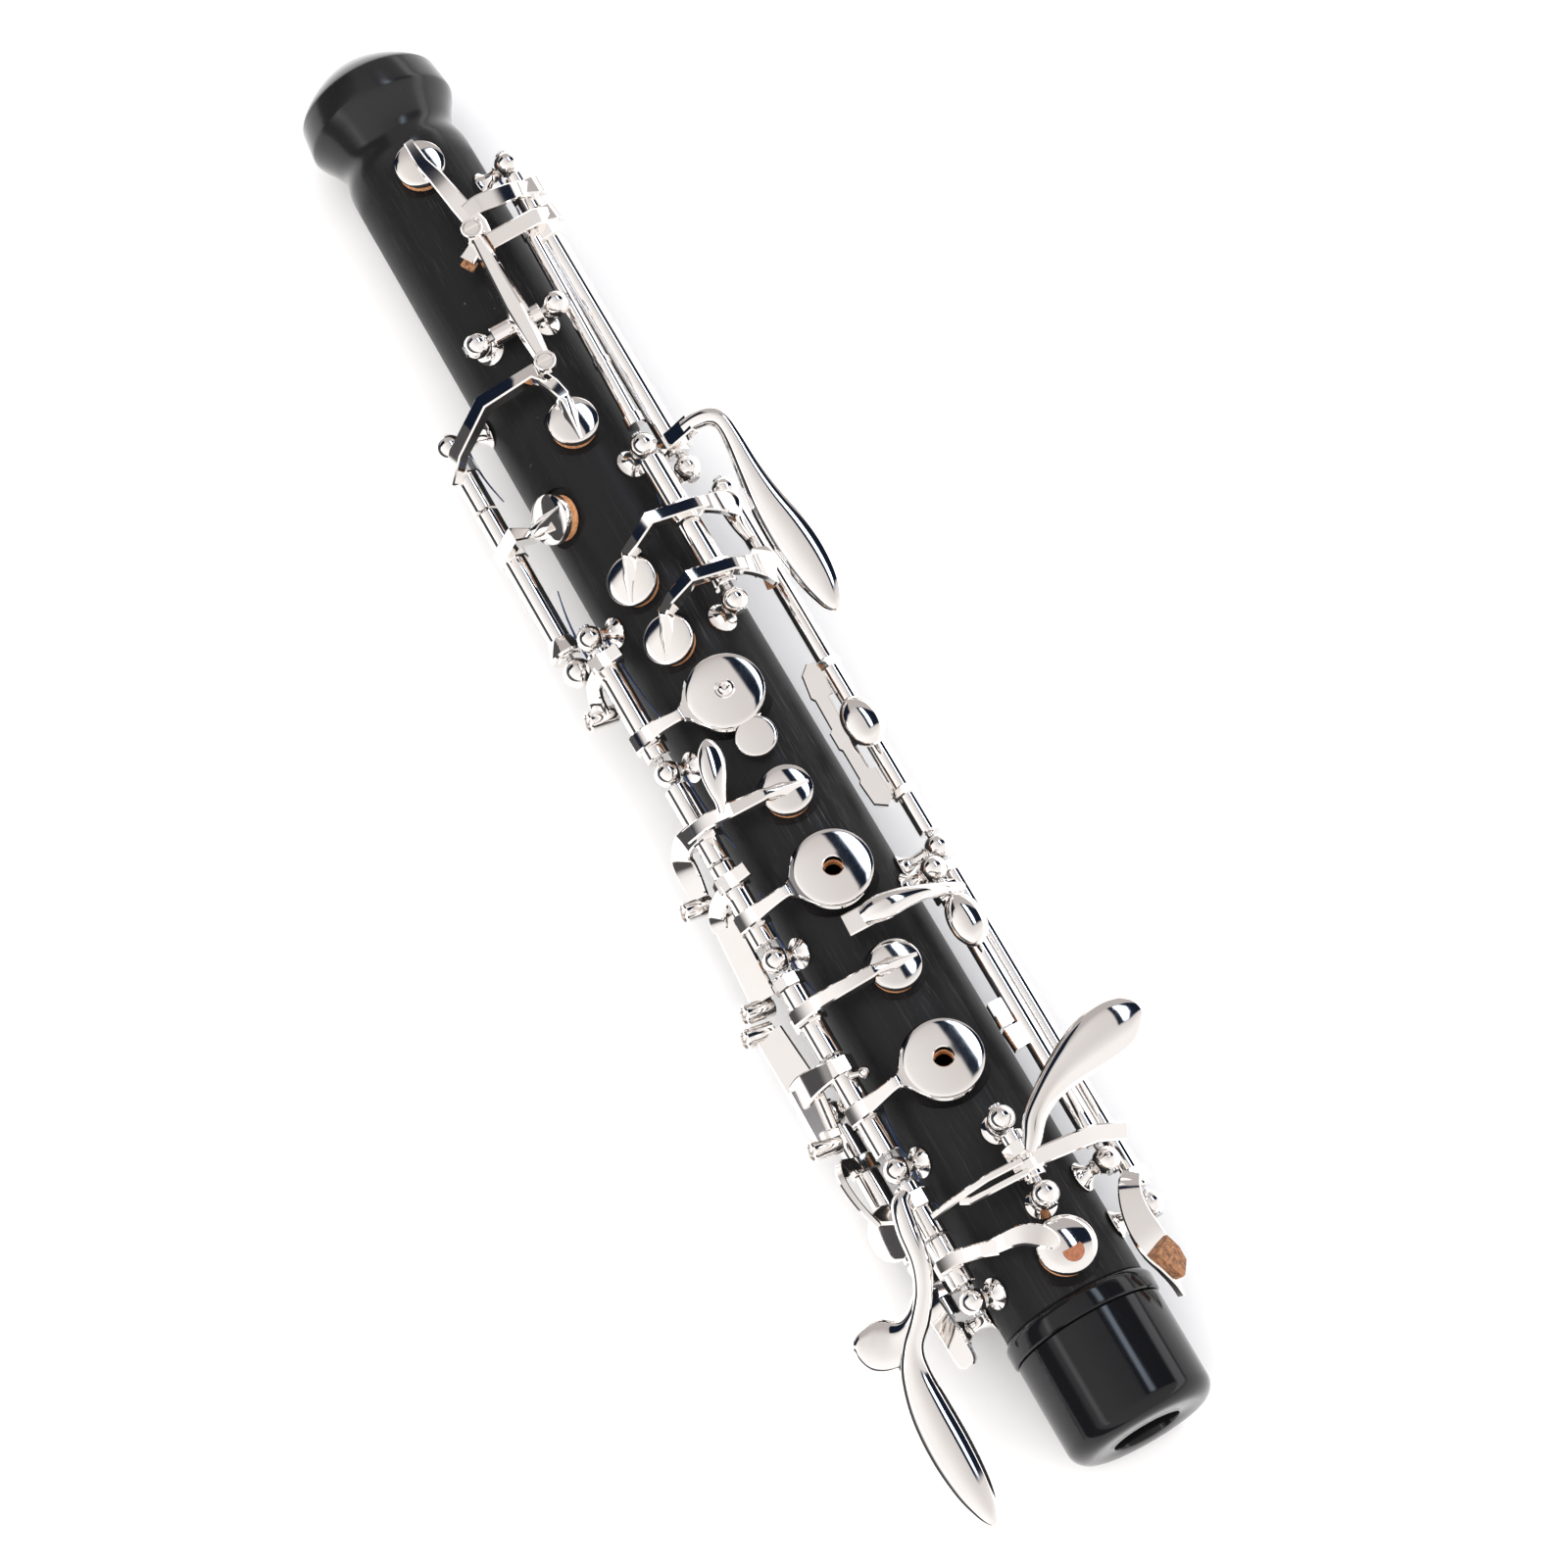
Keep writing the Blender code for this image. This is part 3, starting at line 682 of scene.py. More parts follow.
# name: angle around the bore, y, cup radius, tone hole radius, lift at rest
cups = {
    "top_trill": (3.6, 230.6, 4.0, 1.4, 0.0),
    "upper_octave": (4.8, 178.9, 4.0, 1.3, 0.0),
    "lower_octave": (-46.0, 167.7, 4.0, 1.3, 0.0),
    "upper_trill": (-16.0, 150.9, 4.0, 1.9, 0.0),
    "lower_trill": (-14.5, 139.5, 4.0, 1.9, 0.0),
    "half_hole": (0.9, 127.5, 6.1, 1.6, 1.2),
    "alternate_c": (3.2, 108.9, 4.0, 2.0, 0.0),
    "a_ring": (3.4, 94.6, 6.1, 2.4, 1.2),
    "b_flat": (6.4, 76.7, 4.0, 2.2, 0.0),
    "g_ring": (2.6, 60.5, 6.1, 2.6, 1.2),
    "low_vent": (8.8, 26.9, 4.5, 2.0, 1.2),
}
cupMaking = {
    "padInset": 0.4,
    "padThickness": 1.5,
    "padGap": 0.3,
    "seatMargin": 0.8,
    "ringHole": 1.5,
    "smallCupHeight": 1.75,
    "plateHeight": 1.5,
    "ventDome": 1.15,
}


def seatHeight(name):
    angle, y, radius, hole, lift = cups[name]
    reach = radius - 0.2
    return math.sqrt(bodyRadius(y) ** 2 - reach**2) - 0.1


def cupBase(name):
    return seatHeight(name) + 2 * cupMaking["padGap"] + cups[name][4] + cupMaking["padThickness"]


def cupFrame(name):
    # sits on the cup's lower face; Y runs along the bore and Z points outwards
    angle, y, radius, hole, lift = cups[name]
    return at(0, y, 0) @ outward(angle) @ at(0, 0, cupBase(name))


def onCup(name, side, along, up, width, height, ridge=0.0):
    # a bar's row given in the cup's own frame
    place = cupFrame(name)
    spot = place @ Vector((side, along, up))
    away = place.to_3x3() @ Vector((0, 0, 1))
    return (*spot, width, height, ridge, *away)


def wedge(name, side, along, width=2.6):
    # ridge that enters over one rim of a cup and runs down to the far rim
    return [
        onCup(name, side, along, 2.0, width * 0.88, 1.8, 0.2),
        onCup(name, side * 0.72, along * 0.72, 2.1, width, 1.6, 0.55),
        onCup(name, side * 0.1, along * 0.1, 2.05, width, 1.2, 0.8),
        onCup(name, side * -0.88, along * -0.88, 1.55, 0.7, 0.5, 0.8),
    ]


def plateArm(name, y):
    # crosses the hinge tube, slims down and then flares flush into the side of a finger plate
    spread = (
        (-8.4, 1.9, 1.25), (-7.4, 2.3, 1.2), (-6.6, 3.6, 1.1), (-5.8, 6.0, 1.0), (-4.6, 9.0, 0.85),
    )
    start = [(-15.5, y, 9.8, 2.9, 1.5), (-13.4, y, 11.3, 2.9, 1.5), (-11.2, y, 12.4, 2.3, 1.4)]
    return start + [onCup(name, side, 0.1, 0.6, width, height) for side, width, height in spread]


def underRim(name, start, end):
    # thin strip of the arm that shows below the plate's edge
    rows = []
    for step in range(7):
        turn = math.radians(start + (end - start) * step / 6)
        width = 0.5 + 0.55 * math.sin(math.pi * step / 6)
        rows.append(onCup(name, 5.95 * math.cos(turn), 5.95 * math.sin(turn), 0.25, width, 0.8))
    return rows


def roundedDisc(radius, low, high, edge, hole=0.0, dome=0.0):
    # profile of a disc with softened rims, an optional hole and a slightly domed top
    profile = []
    for part in (0.0, 0.2, 0.4, 0.6, 0.8, 0.92):
        reach = hole + 0.16 + part * (radius - edge - hole - 0.16) if hole else part * (radius - edge)
        profile.append((reach, high + dome * (1 - (reach / radius) ** 2)))
    profile += [(radius - edge, high + 0.02), (radius - edge * 0.3, high - edge * 0.3)]
    profile += [(radius, high - edge), (radius, low + edge * 0.5), (radius - edge * 0.5, low)]
    if hole:
        return [(hole, high + dome - 0.2), *profile, (hole, low)]
    return [*profile, (0, low)]


def forgeCup(smith, name):
    angle, y, radius, hole, lift = cups[name]
    place = cupFrame(name)
    if radius > 5:
        opening = cupMaking["ringHole"] if name.endswith("_ring") else 0.0
        top = cupMaking["plateHeight"]
        profile = roundedDisc(radius, 0.0, top - 0.32, 0.2, opening, 0.62)
        smith.lathe(profile, place, 72, loop=bool(opening))
    else:
        top = cupMaking["smallCupHeight"]
        dome = cupMaking["ventDome"] if name == "low_vent" else 0.5
        smith.lathe(roundedDisc(radius, 0.0, top - 0.42, 0.24, 0.0, dome), place, 56)


def makePad(name, body):
    angle, y, radius, hole, lift = cups[name]
    low = -cupMaking["padThickness"] - cupMaking["padGap"]
    inner = cupMaking["ringHole"] - 0.1 if name.endswith("_ring") else 0.0
    pad = Smithing()
    profile = roundedDisc(radius - cupMaking["padInset"], low, -0.02, 0.3, inner)
    pad.lathe(profile, cupFrame(name), 48, loop=bool(inner))
    settle(pad.piece("cork_pad_" + name, "pad"), body, "pad_cork", "pad_" + name)


turnedTube = {
    "sides": 144,
    "bulb": [
        (256.4, 4.1), (256.39, 5.6), (256.25, 6.0), (255.9, 6.6), (255.0, 7.95), (254.0, 9.3),
        (253.0, 10.45), (252.0, 11.4), (251.5, 11.8), (251.2, 11.98), (250.9, 12.05),
        (249.0, 12.27),
        (247.6, 12.42), (246.7, 12.49), (246.3, 12.49), (246.0, 12.38), (245.2, 12.0),
        (244.4, 11.5),
        (243.4, 10.95), (242.4, 10.45), (241.6, 10.1), (240.9, 9.87), (240.2, 9.8), (239.5, 9.86),
        (238.7, 10.05), (237.8, 10.3), (237.0, 10.44), (236.2, 10.5),
    ],
    "bore": [(257.2, 4.1), (235.01, 4.1), (235.0, 2.5), (3.0, 4.7)],
    "tenonRadius": 8.4,
    "tenonEnd": 3.5,
}


def makeTube():
    shape = turnedTube
    profile = list(shape["bulb"])
    profile += [(y, bodyRadius(y)) for y in (225.0, 190.0, 150.0, 110.0, 70.0, 40.0, 21.15)]
    foot = instrument["footY"]
    profile += [(foot, bodyRadius(foot) - 0.25), (foot - 0.01, shape["tenonRadius"])]
    profile += [(shape["tenonEnd"], shape["tenonRadius"])]
    skin = [((0, y, 0), radius) for y, radius in profile]
    tube = turnedWork.run("joint_tube", linesMesh("tubeLine", [skin]), {"Sides": shape["sides"]}, "black")
    cutters = [turnedWork.run(
        "bore",
        linesMesh("boreLine", [[((0, y, 0), radius) for y, radius in shape["bore"]]]),
        {"Sides": 72},
        "black",
    )]
    for name, (angle, y, radius, hole, lift) in cups.items():
        seat = Smithing()
        low = seatHeight(name)
        reach = radius + cupMaking["seatMargin"]
        place = at(0, y, 0) @ outward(angle)
        seat.lathe([(0, low + 5), (reach, low + 5), (reach, low), (0, low)], place, 64)
        cutters.append(seat.piece("seat", "black"))
        drill = Smithing()
        drill.lathe([(0, low + 1), (hole, low + 1), (hole, 1.0), (0, 1.0)], place, 32)
        cutters.append(drill.piece("drill", "black"))
    for cutter in cutters:
        step = tube.modifiers.new("cut", "BOOLEAN")
        step.operation = "DIFFERENCE"
        step.solver = "EXACT"
        step.object = cutter
    bpy.context.view_layer.update()
    graph = bpy.context.evaluated_depsgraph_get()
    mesh = bpy.data.meshes.new_from_object(tube.evaluated_get(graph))
    for leftover in [tube, *cutters]:
        bpy.data.objects.remove(leftover, do_unlink=True)
    mesh.name = "joint_tube"
    whole = finished("joint_tube", mesh, "black")
    settle(whole, "root", "blackwood", "top_joint_body")


def makeRings():
    along = Matrix.Rotation(math.radians(-90), 4, "X")
    outer = 12.2
    band = Smithing()
    top = 20.82
    low = 17.28
    inner = turnedTube["tenonRadius"] + 0.3
    profile = [(inner, low), (outer - 0.3, low), (outer - 0.05, low + 0.25), (outer, low + 0.6)]
    profile += [(outer, top - 1.0), (outer - 0.12, top - 0.55), (outer - 0.5, top - 0.1)]
    profile += [(outer - 0.9, top), (inner, top)]
    band.lathe(profile, along, 128, loop=True)
    settle(band.piece("tenon_band", "gloss"), "root", "black_gloss", "tenon_ring")
    cork = Smithing()
    ribs = [(9.3 - 0.12 * (step % 2), 5.4 + step * 0.6) for step in range(16)]
    cork.lathe([(8.42, 5.0), (9.1, 5.0), *ribs, (9.1, 15.0), (8.42, 15.0)], along, 72, loop=True)
    settle(cork.piece("tenon_cork_wrap", "cork"), "root", "tenon_cork", "tenon_cork")
    liner = Smithing()
    profile = [(3.8, 255.9), (4.05, 256.15), (4.05, 256.36), (3.4, 256.36), (3.3, 256.2)]
    profile += [(3.3, 235.5), (3.8, 235.5)]
    liner.lathe(profile, along, 48, loop=True)
    settle(liner.piece("reed_liner", "steel"), "root", "steel", "reed_socket_liner")
    cap = Smithing()
    radius = 11.85
    edge = 2.9
    hole = 5.38
    profile = [(9.65, 17.2), (radius - 0.25, 17.2), (radius, 16.95), (radius + 0.02, 10.0)]
    for step in range(13):
        turn = math.radians(step * 7.5)
        profile.append((radius - edge * (1 - math.cos(turn)), edge * (1 - math.sin(turn))))
    profile += [(hole + 0.35, 0.0), (hole + 0.1, 0.12), (hole, 0.4), (hole, 2.9), (9.65, 2.9)]
    cap.lathe(profile, along, 128, loop=True)
    settle(cap.piece("tenon_cap_shell", "gloss"), "tenon_cap", "black_gloss", "tenon_cap")


makeTube()
makeRings()
print("tube, band, cork, liner and cap ready")


postWork = {
    "sides": 36,
    "ball": 2.12,
    "octaveBall": 2.4,
    "neck": 1.08,
    "foot": 2.45,
    "lines": {
        "left": ("half_hole_key", (147.2, 121.8, 87.6, 50.3, 27.5)),
        "octave": ("upper_octave_key", (188.6, 145.2)),
        "thumb": ("thumb_octave_key", (66.0, 27.0)),
        "upper_right": ("side_octave_key", (225.0, 164.3)),
        "short": ("upper_trill_key", (169.3, 139.6)),
        "trill": ("upper_trill_lever", (160.3, 92.4, 28.5)),
        "low": ("lower_trill_lever", (88.6, 36.6)),
        "sharp": ("sharp_key", (47.7, 34.7)),
    },
    "rocker": (197.4, 13.8, {"left": -6.0, "right": 8.0}),
}


def postLine(x, y, z, ball):
    # from the foot on the tube up to the top of the ball
    away = Vector((x, 0, z)).normalized()
    reach = math.hypot(x, z)
    foot = bodyRadius(y) + 0.02
    neck = postWork["neck"]
    flare = postWork["foot"]
    low = reach - 2.0
    heights = [(foot, flare - 0.15), (foot + 0.14, flare), (foot + 0.3, flare - 0.05)]
    spool = min(2.4, (low - foot) * 0.72)
    for step in range(1, 8):
        part = step / 7
        heights.append((foot + 0.3 + spool * part, neck + (flare - 0.25 - neck) * (1 - part) ** 2.2))
    heights.append((low - 0.25, neck + 0.02))
    heights.append((low - 0.15, neck + 0.3))
    heights.append((low + 0.05, neck + 0.3))
    for step in range(15):
        turn = math.radians(-62 + step * 152 / 14)
        heights.append((reach + ball * math.sin(turn), ball * math.cos(turn)))
    kept = []
    for height, radius in heights:
        if not kept or height > kept[-1][0] + 0.01:
            kept.append((height, max(radius, 0.02)))
    return [(away * height + Vector((0, y, 0)), radius) for height, radius in kept]


def makePosts():
    lines = []
    nodes = []
    screws = []
    for name, (body, places) in postWork["lines"].items():
        x, z = hingeOf(body)
        for number, y in enumerate(places, 1):
            ball = postWork["octaveBall"] if name == "octave" else postWork["ball"]
            lines.append(postLine(x, y, z, ball))
            nodes.append("post_%s_%d" % (name, number))
        ends = ((places[0], 1.0), (places[-1], -1.0))
        screws += [((x, y + side * 1.95, z), (0, side, 0), 1.0) for y, side in ends]
    y, z, across = postWork["rocker"]
    for name, x in across.items():
        lines.append(postLine(x, y, z, postWork["ball"]))
        nodes.append("post_rocker_" + name)
        side = math.copysign(1, x)
        screws.append(((x + side * 1.95, y, z), (side, 0, 0), 1.0))
    shape = {"Sides": postWork["sides"]}
    posts = turnedWork.run("key_posts", linesMesh("postLines", lines), shape, "silver")
    settle(posts, "root", "silver_plate", *nodes)
    heads = {"Head radius": 0.95 * mm, "Head height": 0.5 * mm, "Slot width": 0.26 * mm}
    settle(
        slottedScrews.run("pivot_screws", pointsMesh("pivotSpots", screws), heads, "steel"),
        "root",
        "steel",
    )


rodWork = {
    "stack": ("half_hole_key", 25.5, 149.2),
    # the key that gives the line, then the rod's two ends along the tube
    "inner": (
        ("upper_octave_key", 147.0, 187.0),
        ("thumb_octave_key", 28.0, 65.0),
        ("side_octave_key", 166.0, 223.5),
        ("upper_trill_key", 141.0, 168.0),
        ("upper_trill_lever", 30.0, 159.0),
        ("lower_trill_lever", 38.0, 87.0),
        ("sharp_key", 36.0, 46.5),
    ),
    "rockerEnds": ((-5.0, 197.4, 13.8), (7.0, 197.4, 13.8)),
    "sideEnds": ((9.6, 174.0, 10.4), (10.6, 213.0, 10.2)),
    # share of the side rod's length, then its radius there
    "sideSteps": (
        (0.0, 0.9), (0.004, 1.6), (0.05, 1.6), (0.052, 1.25), (0.3, 1.25), (0.302, 1.45),
        (0.33, 1.45), (0.332, 1.25), (0.95, 1.25), (0.952, 1.5), (0.99, 1.5), (1.0, 0.9),
    ),
}


def rodAlong(body, low, high):
    x, z = hingeOf(body)
    return [((x, low, z), instrument["rodRadius"]), ((x, high, z), instrument["rodRadius"])]


def makeRods():
    line = rodAlong(*rodWork["stack"])
    mesh = linesMesh("hinge_rod_leftLine", [line])
    rod = turnedWork.run("hinge_rod_left", mesh, {"Sides": 24}, "steel")
    settle(rod, "root", "steel", "rod_left_stack")
    inner = [rodAlong(*row) for row in rodWork["inner"]]
    inner.append([(end, instrument["rodRadius"]) for end in rodWork["rockerEnds"]])
    rod = turnedWork.run("hinge_rods", linesMesh("rodLines", inner), {"Sides": 20}, "steel")
    settle(rod, "root", "steel")
    low, high = (Vector(end) for end in rodWork["sideEnds"])
    line = [(low.lerp(high, part), radius) for part, radius in rodWork["sideSteps"]]
    side = turnedWork.run("side_rod", linesMesh("sideRodLine", [line]), {"Sides": 36}, "silver")
    settle(side, "root", "silver_plate")


needleSprings = {
    # start at a post's neck, then the catch that the needle presses on
    "runs": [
        ((-10.9, 146.6, 6.6), (-9.8, 129.8, 8.0)),
        ((-11.0, 121.2, 6.8), (-9.9, 106.4, 8.4)),
        ((-11.0, 88.2, 6.8), (-10.2, 98.6, 8.0)),
        ((-11.0, 87.0, 6.8), (-9.9, 77.4, 8.4)),
        ((-11.0, 51.0, 6.8), (-9.9, 62.8, 8.4)),
        ((-11.0, 49.6, 6.8), (-10.4, 41.6, 8.2)),
        ((-14.6, 187.8, 2.8), (-13.9, 176.0, 4.4)),
        ((-14.6, 146.2, 2.8), (-13.6, 158.4, 4.6)),
        ((11.0, 224.0, 7.4), (10.4, 214.0, 8.4)),
        ((7.0, 168.2, 11.2), (6.4, 160.0, 11.8)),
    ],
    "thick": 0.24,
    "thin": 0.1,
}


def makeSprings():
    lines = []
    for start, end in needleSprings["runs"]:
        start = Vector(start)
        end = Vector(end)
        line = []
        for step in range(9):
            part = step / 8
            spot = start.lerp(end, part)
            spot += Vector((spot.x, 0, spot.z)).normalized() * 0.5 * math.sin(math.pi * part)
            thick = needleSprings["thick"]
            line.append((spot, thick + (needleSprings["thin"] - thick) * part))
        lines.append(line)
    needles = turnedWork.run("needle_springs", linesMesh("needles", lines), {"Sides": 10}, "blued")
    settle(needles, "root", "steel")


makePosts()
makeRods()
makeSprings()
print("posts, rods, screws and springs ready")


def makeKey(node, shape):
    # one key: hinge tube, collars, arms, touches and cups, with its pads, corks and screws
    line = hingeOf(node)
    smith = Smithing()
    for high, low in shape.get("tubes", ()):
        smith.hingeTube(line, high, low, shape.get("gauge", instrument["tubeRadius"]))
    for collar in shape.get("saddles", ()):
        smith.saddle(line, *collar)
    for rows in shape.get("bars", ()):
        smith.bar(rows)
    for rows in shape.get("bends", ()):
        smith.bentBar(rows)
    for rows in shape.get("leaves", ()):
        smith.leaf(rows)
    for profile, place, sides in shape.get("turned", ()):
        smith.lathe(profile, place, sides, loop=profile[0][0] > 0)
    for spot in shape.get("sleeves", ()):
        smith.sleeve(*spot)
    for name in shape.get("cups", ()):
        forgeCup(smith, name)
        makePad(name, node)
    settle(smith.piece(node + "_metal", "silver"), node, "silver_plate", node)
    corks = Smithing()
    for rows in shape.get("corks", ()):
        corks.bar(rows)
    if corks.faces:
        settle(corks.piece(node + "_cork", "cork"), node, "pad_cork")
    screws = list(shape.get("screws", ()))
    for spot in shape.get("sleeves", ()):
        screws.append((Vector(spot) + sleeveAim * 1.75, sleeveAim, 1.2))
    if screws:
        heads = {"Head radius": 1.0 * mm, "Head height": 0.6 * mm, "Slot width": 0.42 * mm}
        spots = pointsMesh(node + "Screws", screws)
        settle(slottedScrews.run(node + "_screws", spots, heads, "silver"), node, "silver_plate")


def disc(radius, low, high, edge=0.25, hole=0.0, dome=0.0):
    return roundedDisc(radius, low, high, edge, hole, dome)


def ball(radius):
    turns = [math.radians(-90 + 15 * step) for step in range(13)]
    return [(max(radius * math.cos(turn), 0), radius * math.sin(turn)) for turn in turns]


halfHole = {
    "tubes": [(144.5, 124.5)],
    "saddles": [(142.3, 2.7, 2.8), (127.9, 3.0, 2.6)],
    "cups": ["half_hole"],
    "bars": [
        [(-12.4, 142.3, 10.9, 2.4, 1.5), (-10.4, 142.4, 11.3, 2.4, 1.5)],
    ],
    "bends": [
        lying(
            [
                (-14.6, 141.0, 10.4, 2.5, 1.1), (-16.2, 140.4, 8.0, 2.6, 1.1),
                (-17.0, 138.8, 5.8, 2.6, 1.0),
                (-17.1, 136.6, 4.4, 2.4, 1.0),
            ],
            (-0.5, 0, 0.86),
        ),
        plateArm("half_hole", 127.9),
        underRim("half_hole", 205, 285),
        [onCup("half_hole", 0.8, -5.4, 0.5, 4.6, 0.9), onCup("half_hole", 0.6, -6.6, 0.5, 2.7, 0.9),
         onCup("half_hole", 0.6, -8.0, 0.5, 4.0, 0.9)],
    ],
    "turned": [
        (disc(3.3, 0.0, 0.95, 0.22, 0, 0.2), cupFrame("half_hole") @ at(0.6, -8.7, 0.1), 48),
        (
            [(0, 1.2), (0.3, 1.2), (0.36, 2.75), (0.62, 2.85), (0.86, 2.7), (0.92, 2.3),
            (1.1, 2.12),
             (1.42, 2.08), (1.55, 1.95), (1.6, 1.2)],
            cupFrame("half_hole"), 32,
        ),
    ],
    "sleeves": [(-17.5, 136.6, 4.0)],
}
alternateC = {
    "tubes": [(119.1, 105.2)],
    "saddles": [(110.6, 3.4, 2.8)],
    "cups": ["alternate_c"],
    "bars": [
        [
            (-15.4, 110.8, 10.0, 2.4, 2.2), (-12.1, 110.6, 12.6, 2.4, 2.3),
            (-8.0, 109.6, 14.8, 2.3, 2.3),
            *wedge("alternate_c", -3.9, 0.5),
        ],
    ],
    "bends": [
        lying(
            [
                (-14.4, 110.8, 10.6, 3.4, 1.1), (-16.6, 110.6, 8.6, 3.7, 1.1),
                (-17.7, 109.4, 6.2, 3.8, 1.0),
                (-18.0, 106.4, 4.8, 3.6, 1.0), (-18.2, 103.4, 4.0, 3.0, 1.0),
            ],
            (-0.5, 0, 0.86),
        ),
    ],
    "leaves": [
        lying(
            [
                (-9.4, 110.2, 14.8, 1.8, 1.3), (-9.0, 111.5, 15.6, 2.0, 1.3),
                (-8.6, 113.2, 16.1, 3.0, 1.4),
                (-8.0, 115.2, 16.4, 4.0, 1.5), (-7.3, 117.3, 16.5, 4.3, 1.5),
                (-6.7, 119.2, 16.5, 3.5, 1.3),
                (-6.4, 120.5, 16.4, 1.9, 0.9), (-6.3, 121.0, 16.35, 0.5, 0.4),
            ],
            (0.3, 0, 1),
        ),
    ],
    "sleeves": [(-19.3, 102.4, 3.2)],
}
aRing = {
    "tubes": [(104.8, 90.3)],
    "saddles": [(101.4, 2.8, 2.75), (94.6, 3.0, 2.6)],
    "cups": ["a_ring"],
    "bars": [
        [(-12.4, 101.4, 10.9, 2.4, 1.5), (-10.3, 101.6, 11.4, 2.4, 1.5)],
        lying([(-16.7, 98.8, 4.9, 4.0, 1.2), (-17.4, 84.4, 3.8, 4.4, 1.2)], (-0.3, 0, 0.95)),
    ],
    "bends": [
        lying(
            [
                (-14.6, 100.2, 10.2, 2.8, 1.1), (-16.4, 99.9, 7.8, 2.9, 1.1),
                (-17.4, 99.0, 5.6, 2.9, 1.1),
                (-17.8, 97.0, 4.8, 2.8, 1.1),
            ],
            (-0.5, 0, 0.86),
        ),
        plateArm("a_ring", 94.6),
        underRim("a_ring", 200, 290),
    ],
    "sleeves": [(-19.0, 83.6, 3.3)],
}
bFlat = {
    "tubes": [(84.9, 70.2)],
    "saddles": [(77.3, 2.8, 2.7), (83.4, 2.2, 2.5)],
    "cups": ["b_flat"],
    "bars": [
        [
            (-15.2, 77.6, 10.1, 2.4, 2.2), (-12.1, 77.4, 12.5, 2.4, 2.3),
            (-7.4, 76.9, 14.9, 2.3, 2.3),
            *wedge("b_flat", -4.0, 0.2),
        ],
    ],
}
gRing = {
    "tubes": [(69.8, 53.0)],
    "saddles": [(67.9, 2.8, 2.8), (60.2, 3.0, 2.6)],
    "cups": ["g_ring"],
    "bars": [
        lying([(-19.3, 79.4, 3.6, 4.6, 1.3), (-18.9, 68.6, 4.6, 5.2, 1.3)], (-0.2, 0, 1)),
        lying([(-18.9, 69.4, 4.6, 5.2, 1.3), (-19.4, 60.8, 3.2, 4.2, 1.3)], (0.3, 0, 1)),
    ],
    "bends": [
        lying(
            [
                (-14.4, 67.9, 10.4, 3.0, 1.2), (-16.8, 68.3, 8.6, 3.8, 1.2),
                (-18.8, 68.5, 6.6, 4.4, 1.2),
                (-20.2, 68.3, 4.8, 4.4, 1.2),
            ],
            (-0.6, 0, 0.8),
        ),
        plateArm("g_ring", 60.2),
        underRim("g_ring", 200, 290),
    ],
    "turned": [(ball(0.95), at(-10.4, 65.2, 10.8), 24)],
    "leaves": [[(-12.6, 65.9, 10.6, 1.2, 1.1), (-10.8, 65.3, 10.8, 0.8, 0.8)]],
    "sleeves": [(-20.4, 60.2, 2.7), (-20.8, 80.2, 3.3)],
}
lowVent = {
    "tubes": [(38.2, 30.2)],
    "saddles": [(33.8, 2.6, 2.6)],
    "cups": ["low_vent"],
    "bars": [
        [
            (-14.8, 33.9, 10.3, 2.3, 2.0), (-12.2, 33.6, 12.3, 2.3, 2.0),
            (-8.6, 32.2, 14.4, 2.2, 2.0),
            (-6.4, 31.2, 15.3, 2.4, 1.8),
        ],
    ],
    "bends": [
        lying(
            [
                (-7.0, 31.6, 15.0, 2.3, 1.7), (-4.6, 31.2, 16.3, 2.7, 1.6),
                (-2.6, 30.6, 16.9, 3.1, 1.5),
                (-0.8, 29.4, 16.9, 3.3, 1.4), (0.4, 28.0, 16.5, 2.6, 1.2),
                (0.6, 27.0, 16.2, 1.4, 1.0),
            ],
        ),
    ],
}
rightHand = {
    "tubes": [(47.6, 38.6)],
    "saddles": [(44.6, 2.8, 2.75)],
    "leaves": [
        lying(
            [
                (-14.2, 46.0, 10.9, 2.2, 1.6), (-15.6, 44.6, 11.4, 3.0, 1.8),
                (-16.5, 41.0, 11.4, 3.4, 1.8),
                (-17.2, 36.2, 10.8, 3.2, 1.8), (-18.9, 32.2, 9.8, 3.0, 1.8),
                (-21.4, 29.0, 8.8, 3.2, 1.8),
                (-24.2, 26.2, 7.8, 3.4, 1.9), (-25.8, 22.6, 7.0, 4.8, 2.1),
                (-26.6, 17.0, 6.3, 6.5, 2.5),
                (-26.8, 10.6, 5.7, 7.0, 2.6), (-26.7, 4.6, 5.3, 6.0, 2.3),
                (-26.5, 0.6, 5.0, 4.0, 1.7),
                (-26.4, -1.3, 4.9, 2.2, 1.1), (-26.35, -1.9, 4.85, 0.8, 0.5),
            ],
        ),
        lying(
            [
                (-19.6, 31.8, 9.4, 2.6, 1.6), (-21.4, 29.8, 8.7, 3.4, 1.7),
                (-23.6, 28.4, 7.8, 5.2, 1.8),
                (-26.0, 28.2, 6.9, 7.4, 2.1), (-28.2, 28.9, 6.5, 8.0, 2.3),
                (-29.8, 29.8, 6.5, 6.8, 2.1),
                (-31.0, 30.5, 6.7, 4.2, 1.6), (-31.6, 30.8, 6.8, 2.0, 1.0),
            ],
            (-0.25, 0.1, 1),
        ),
    ],
}
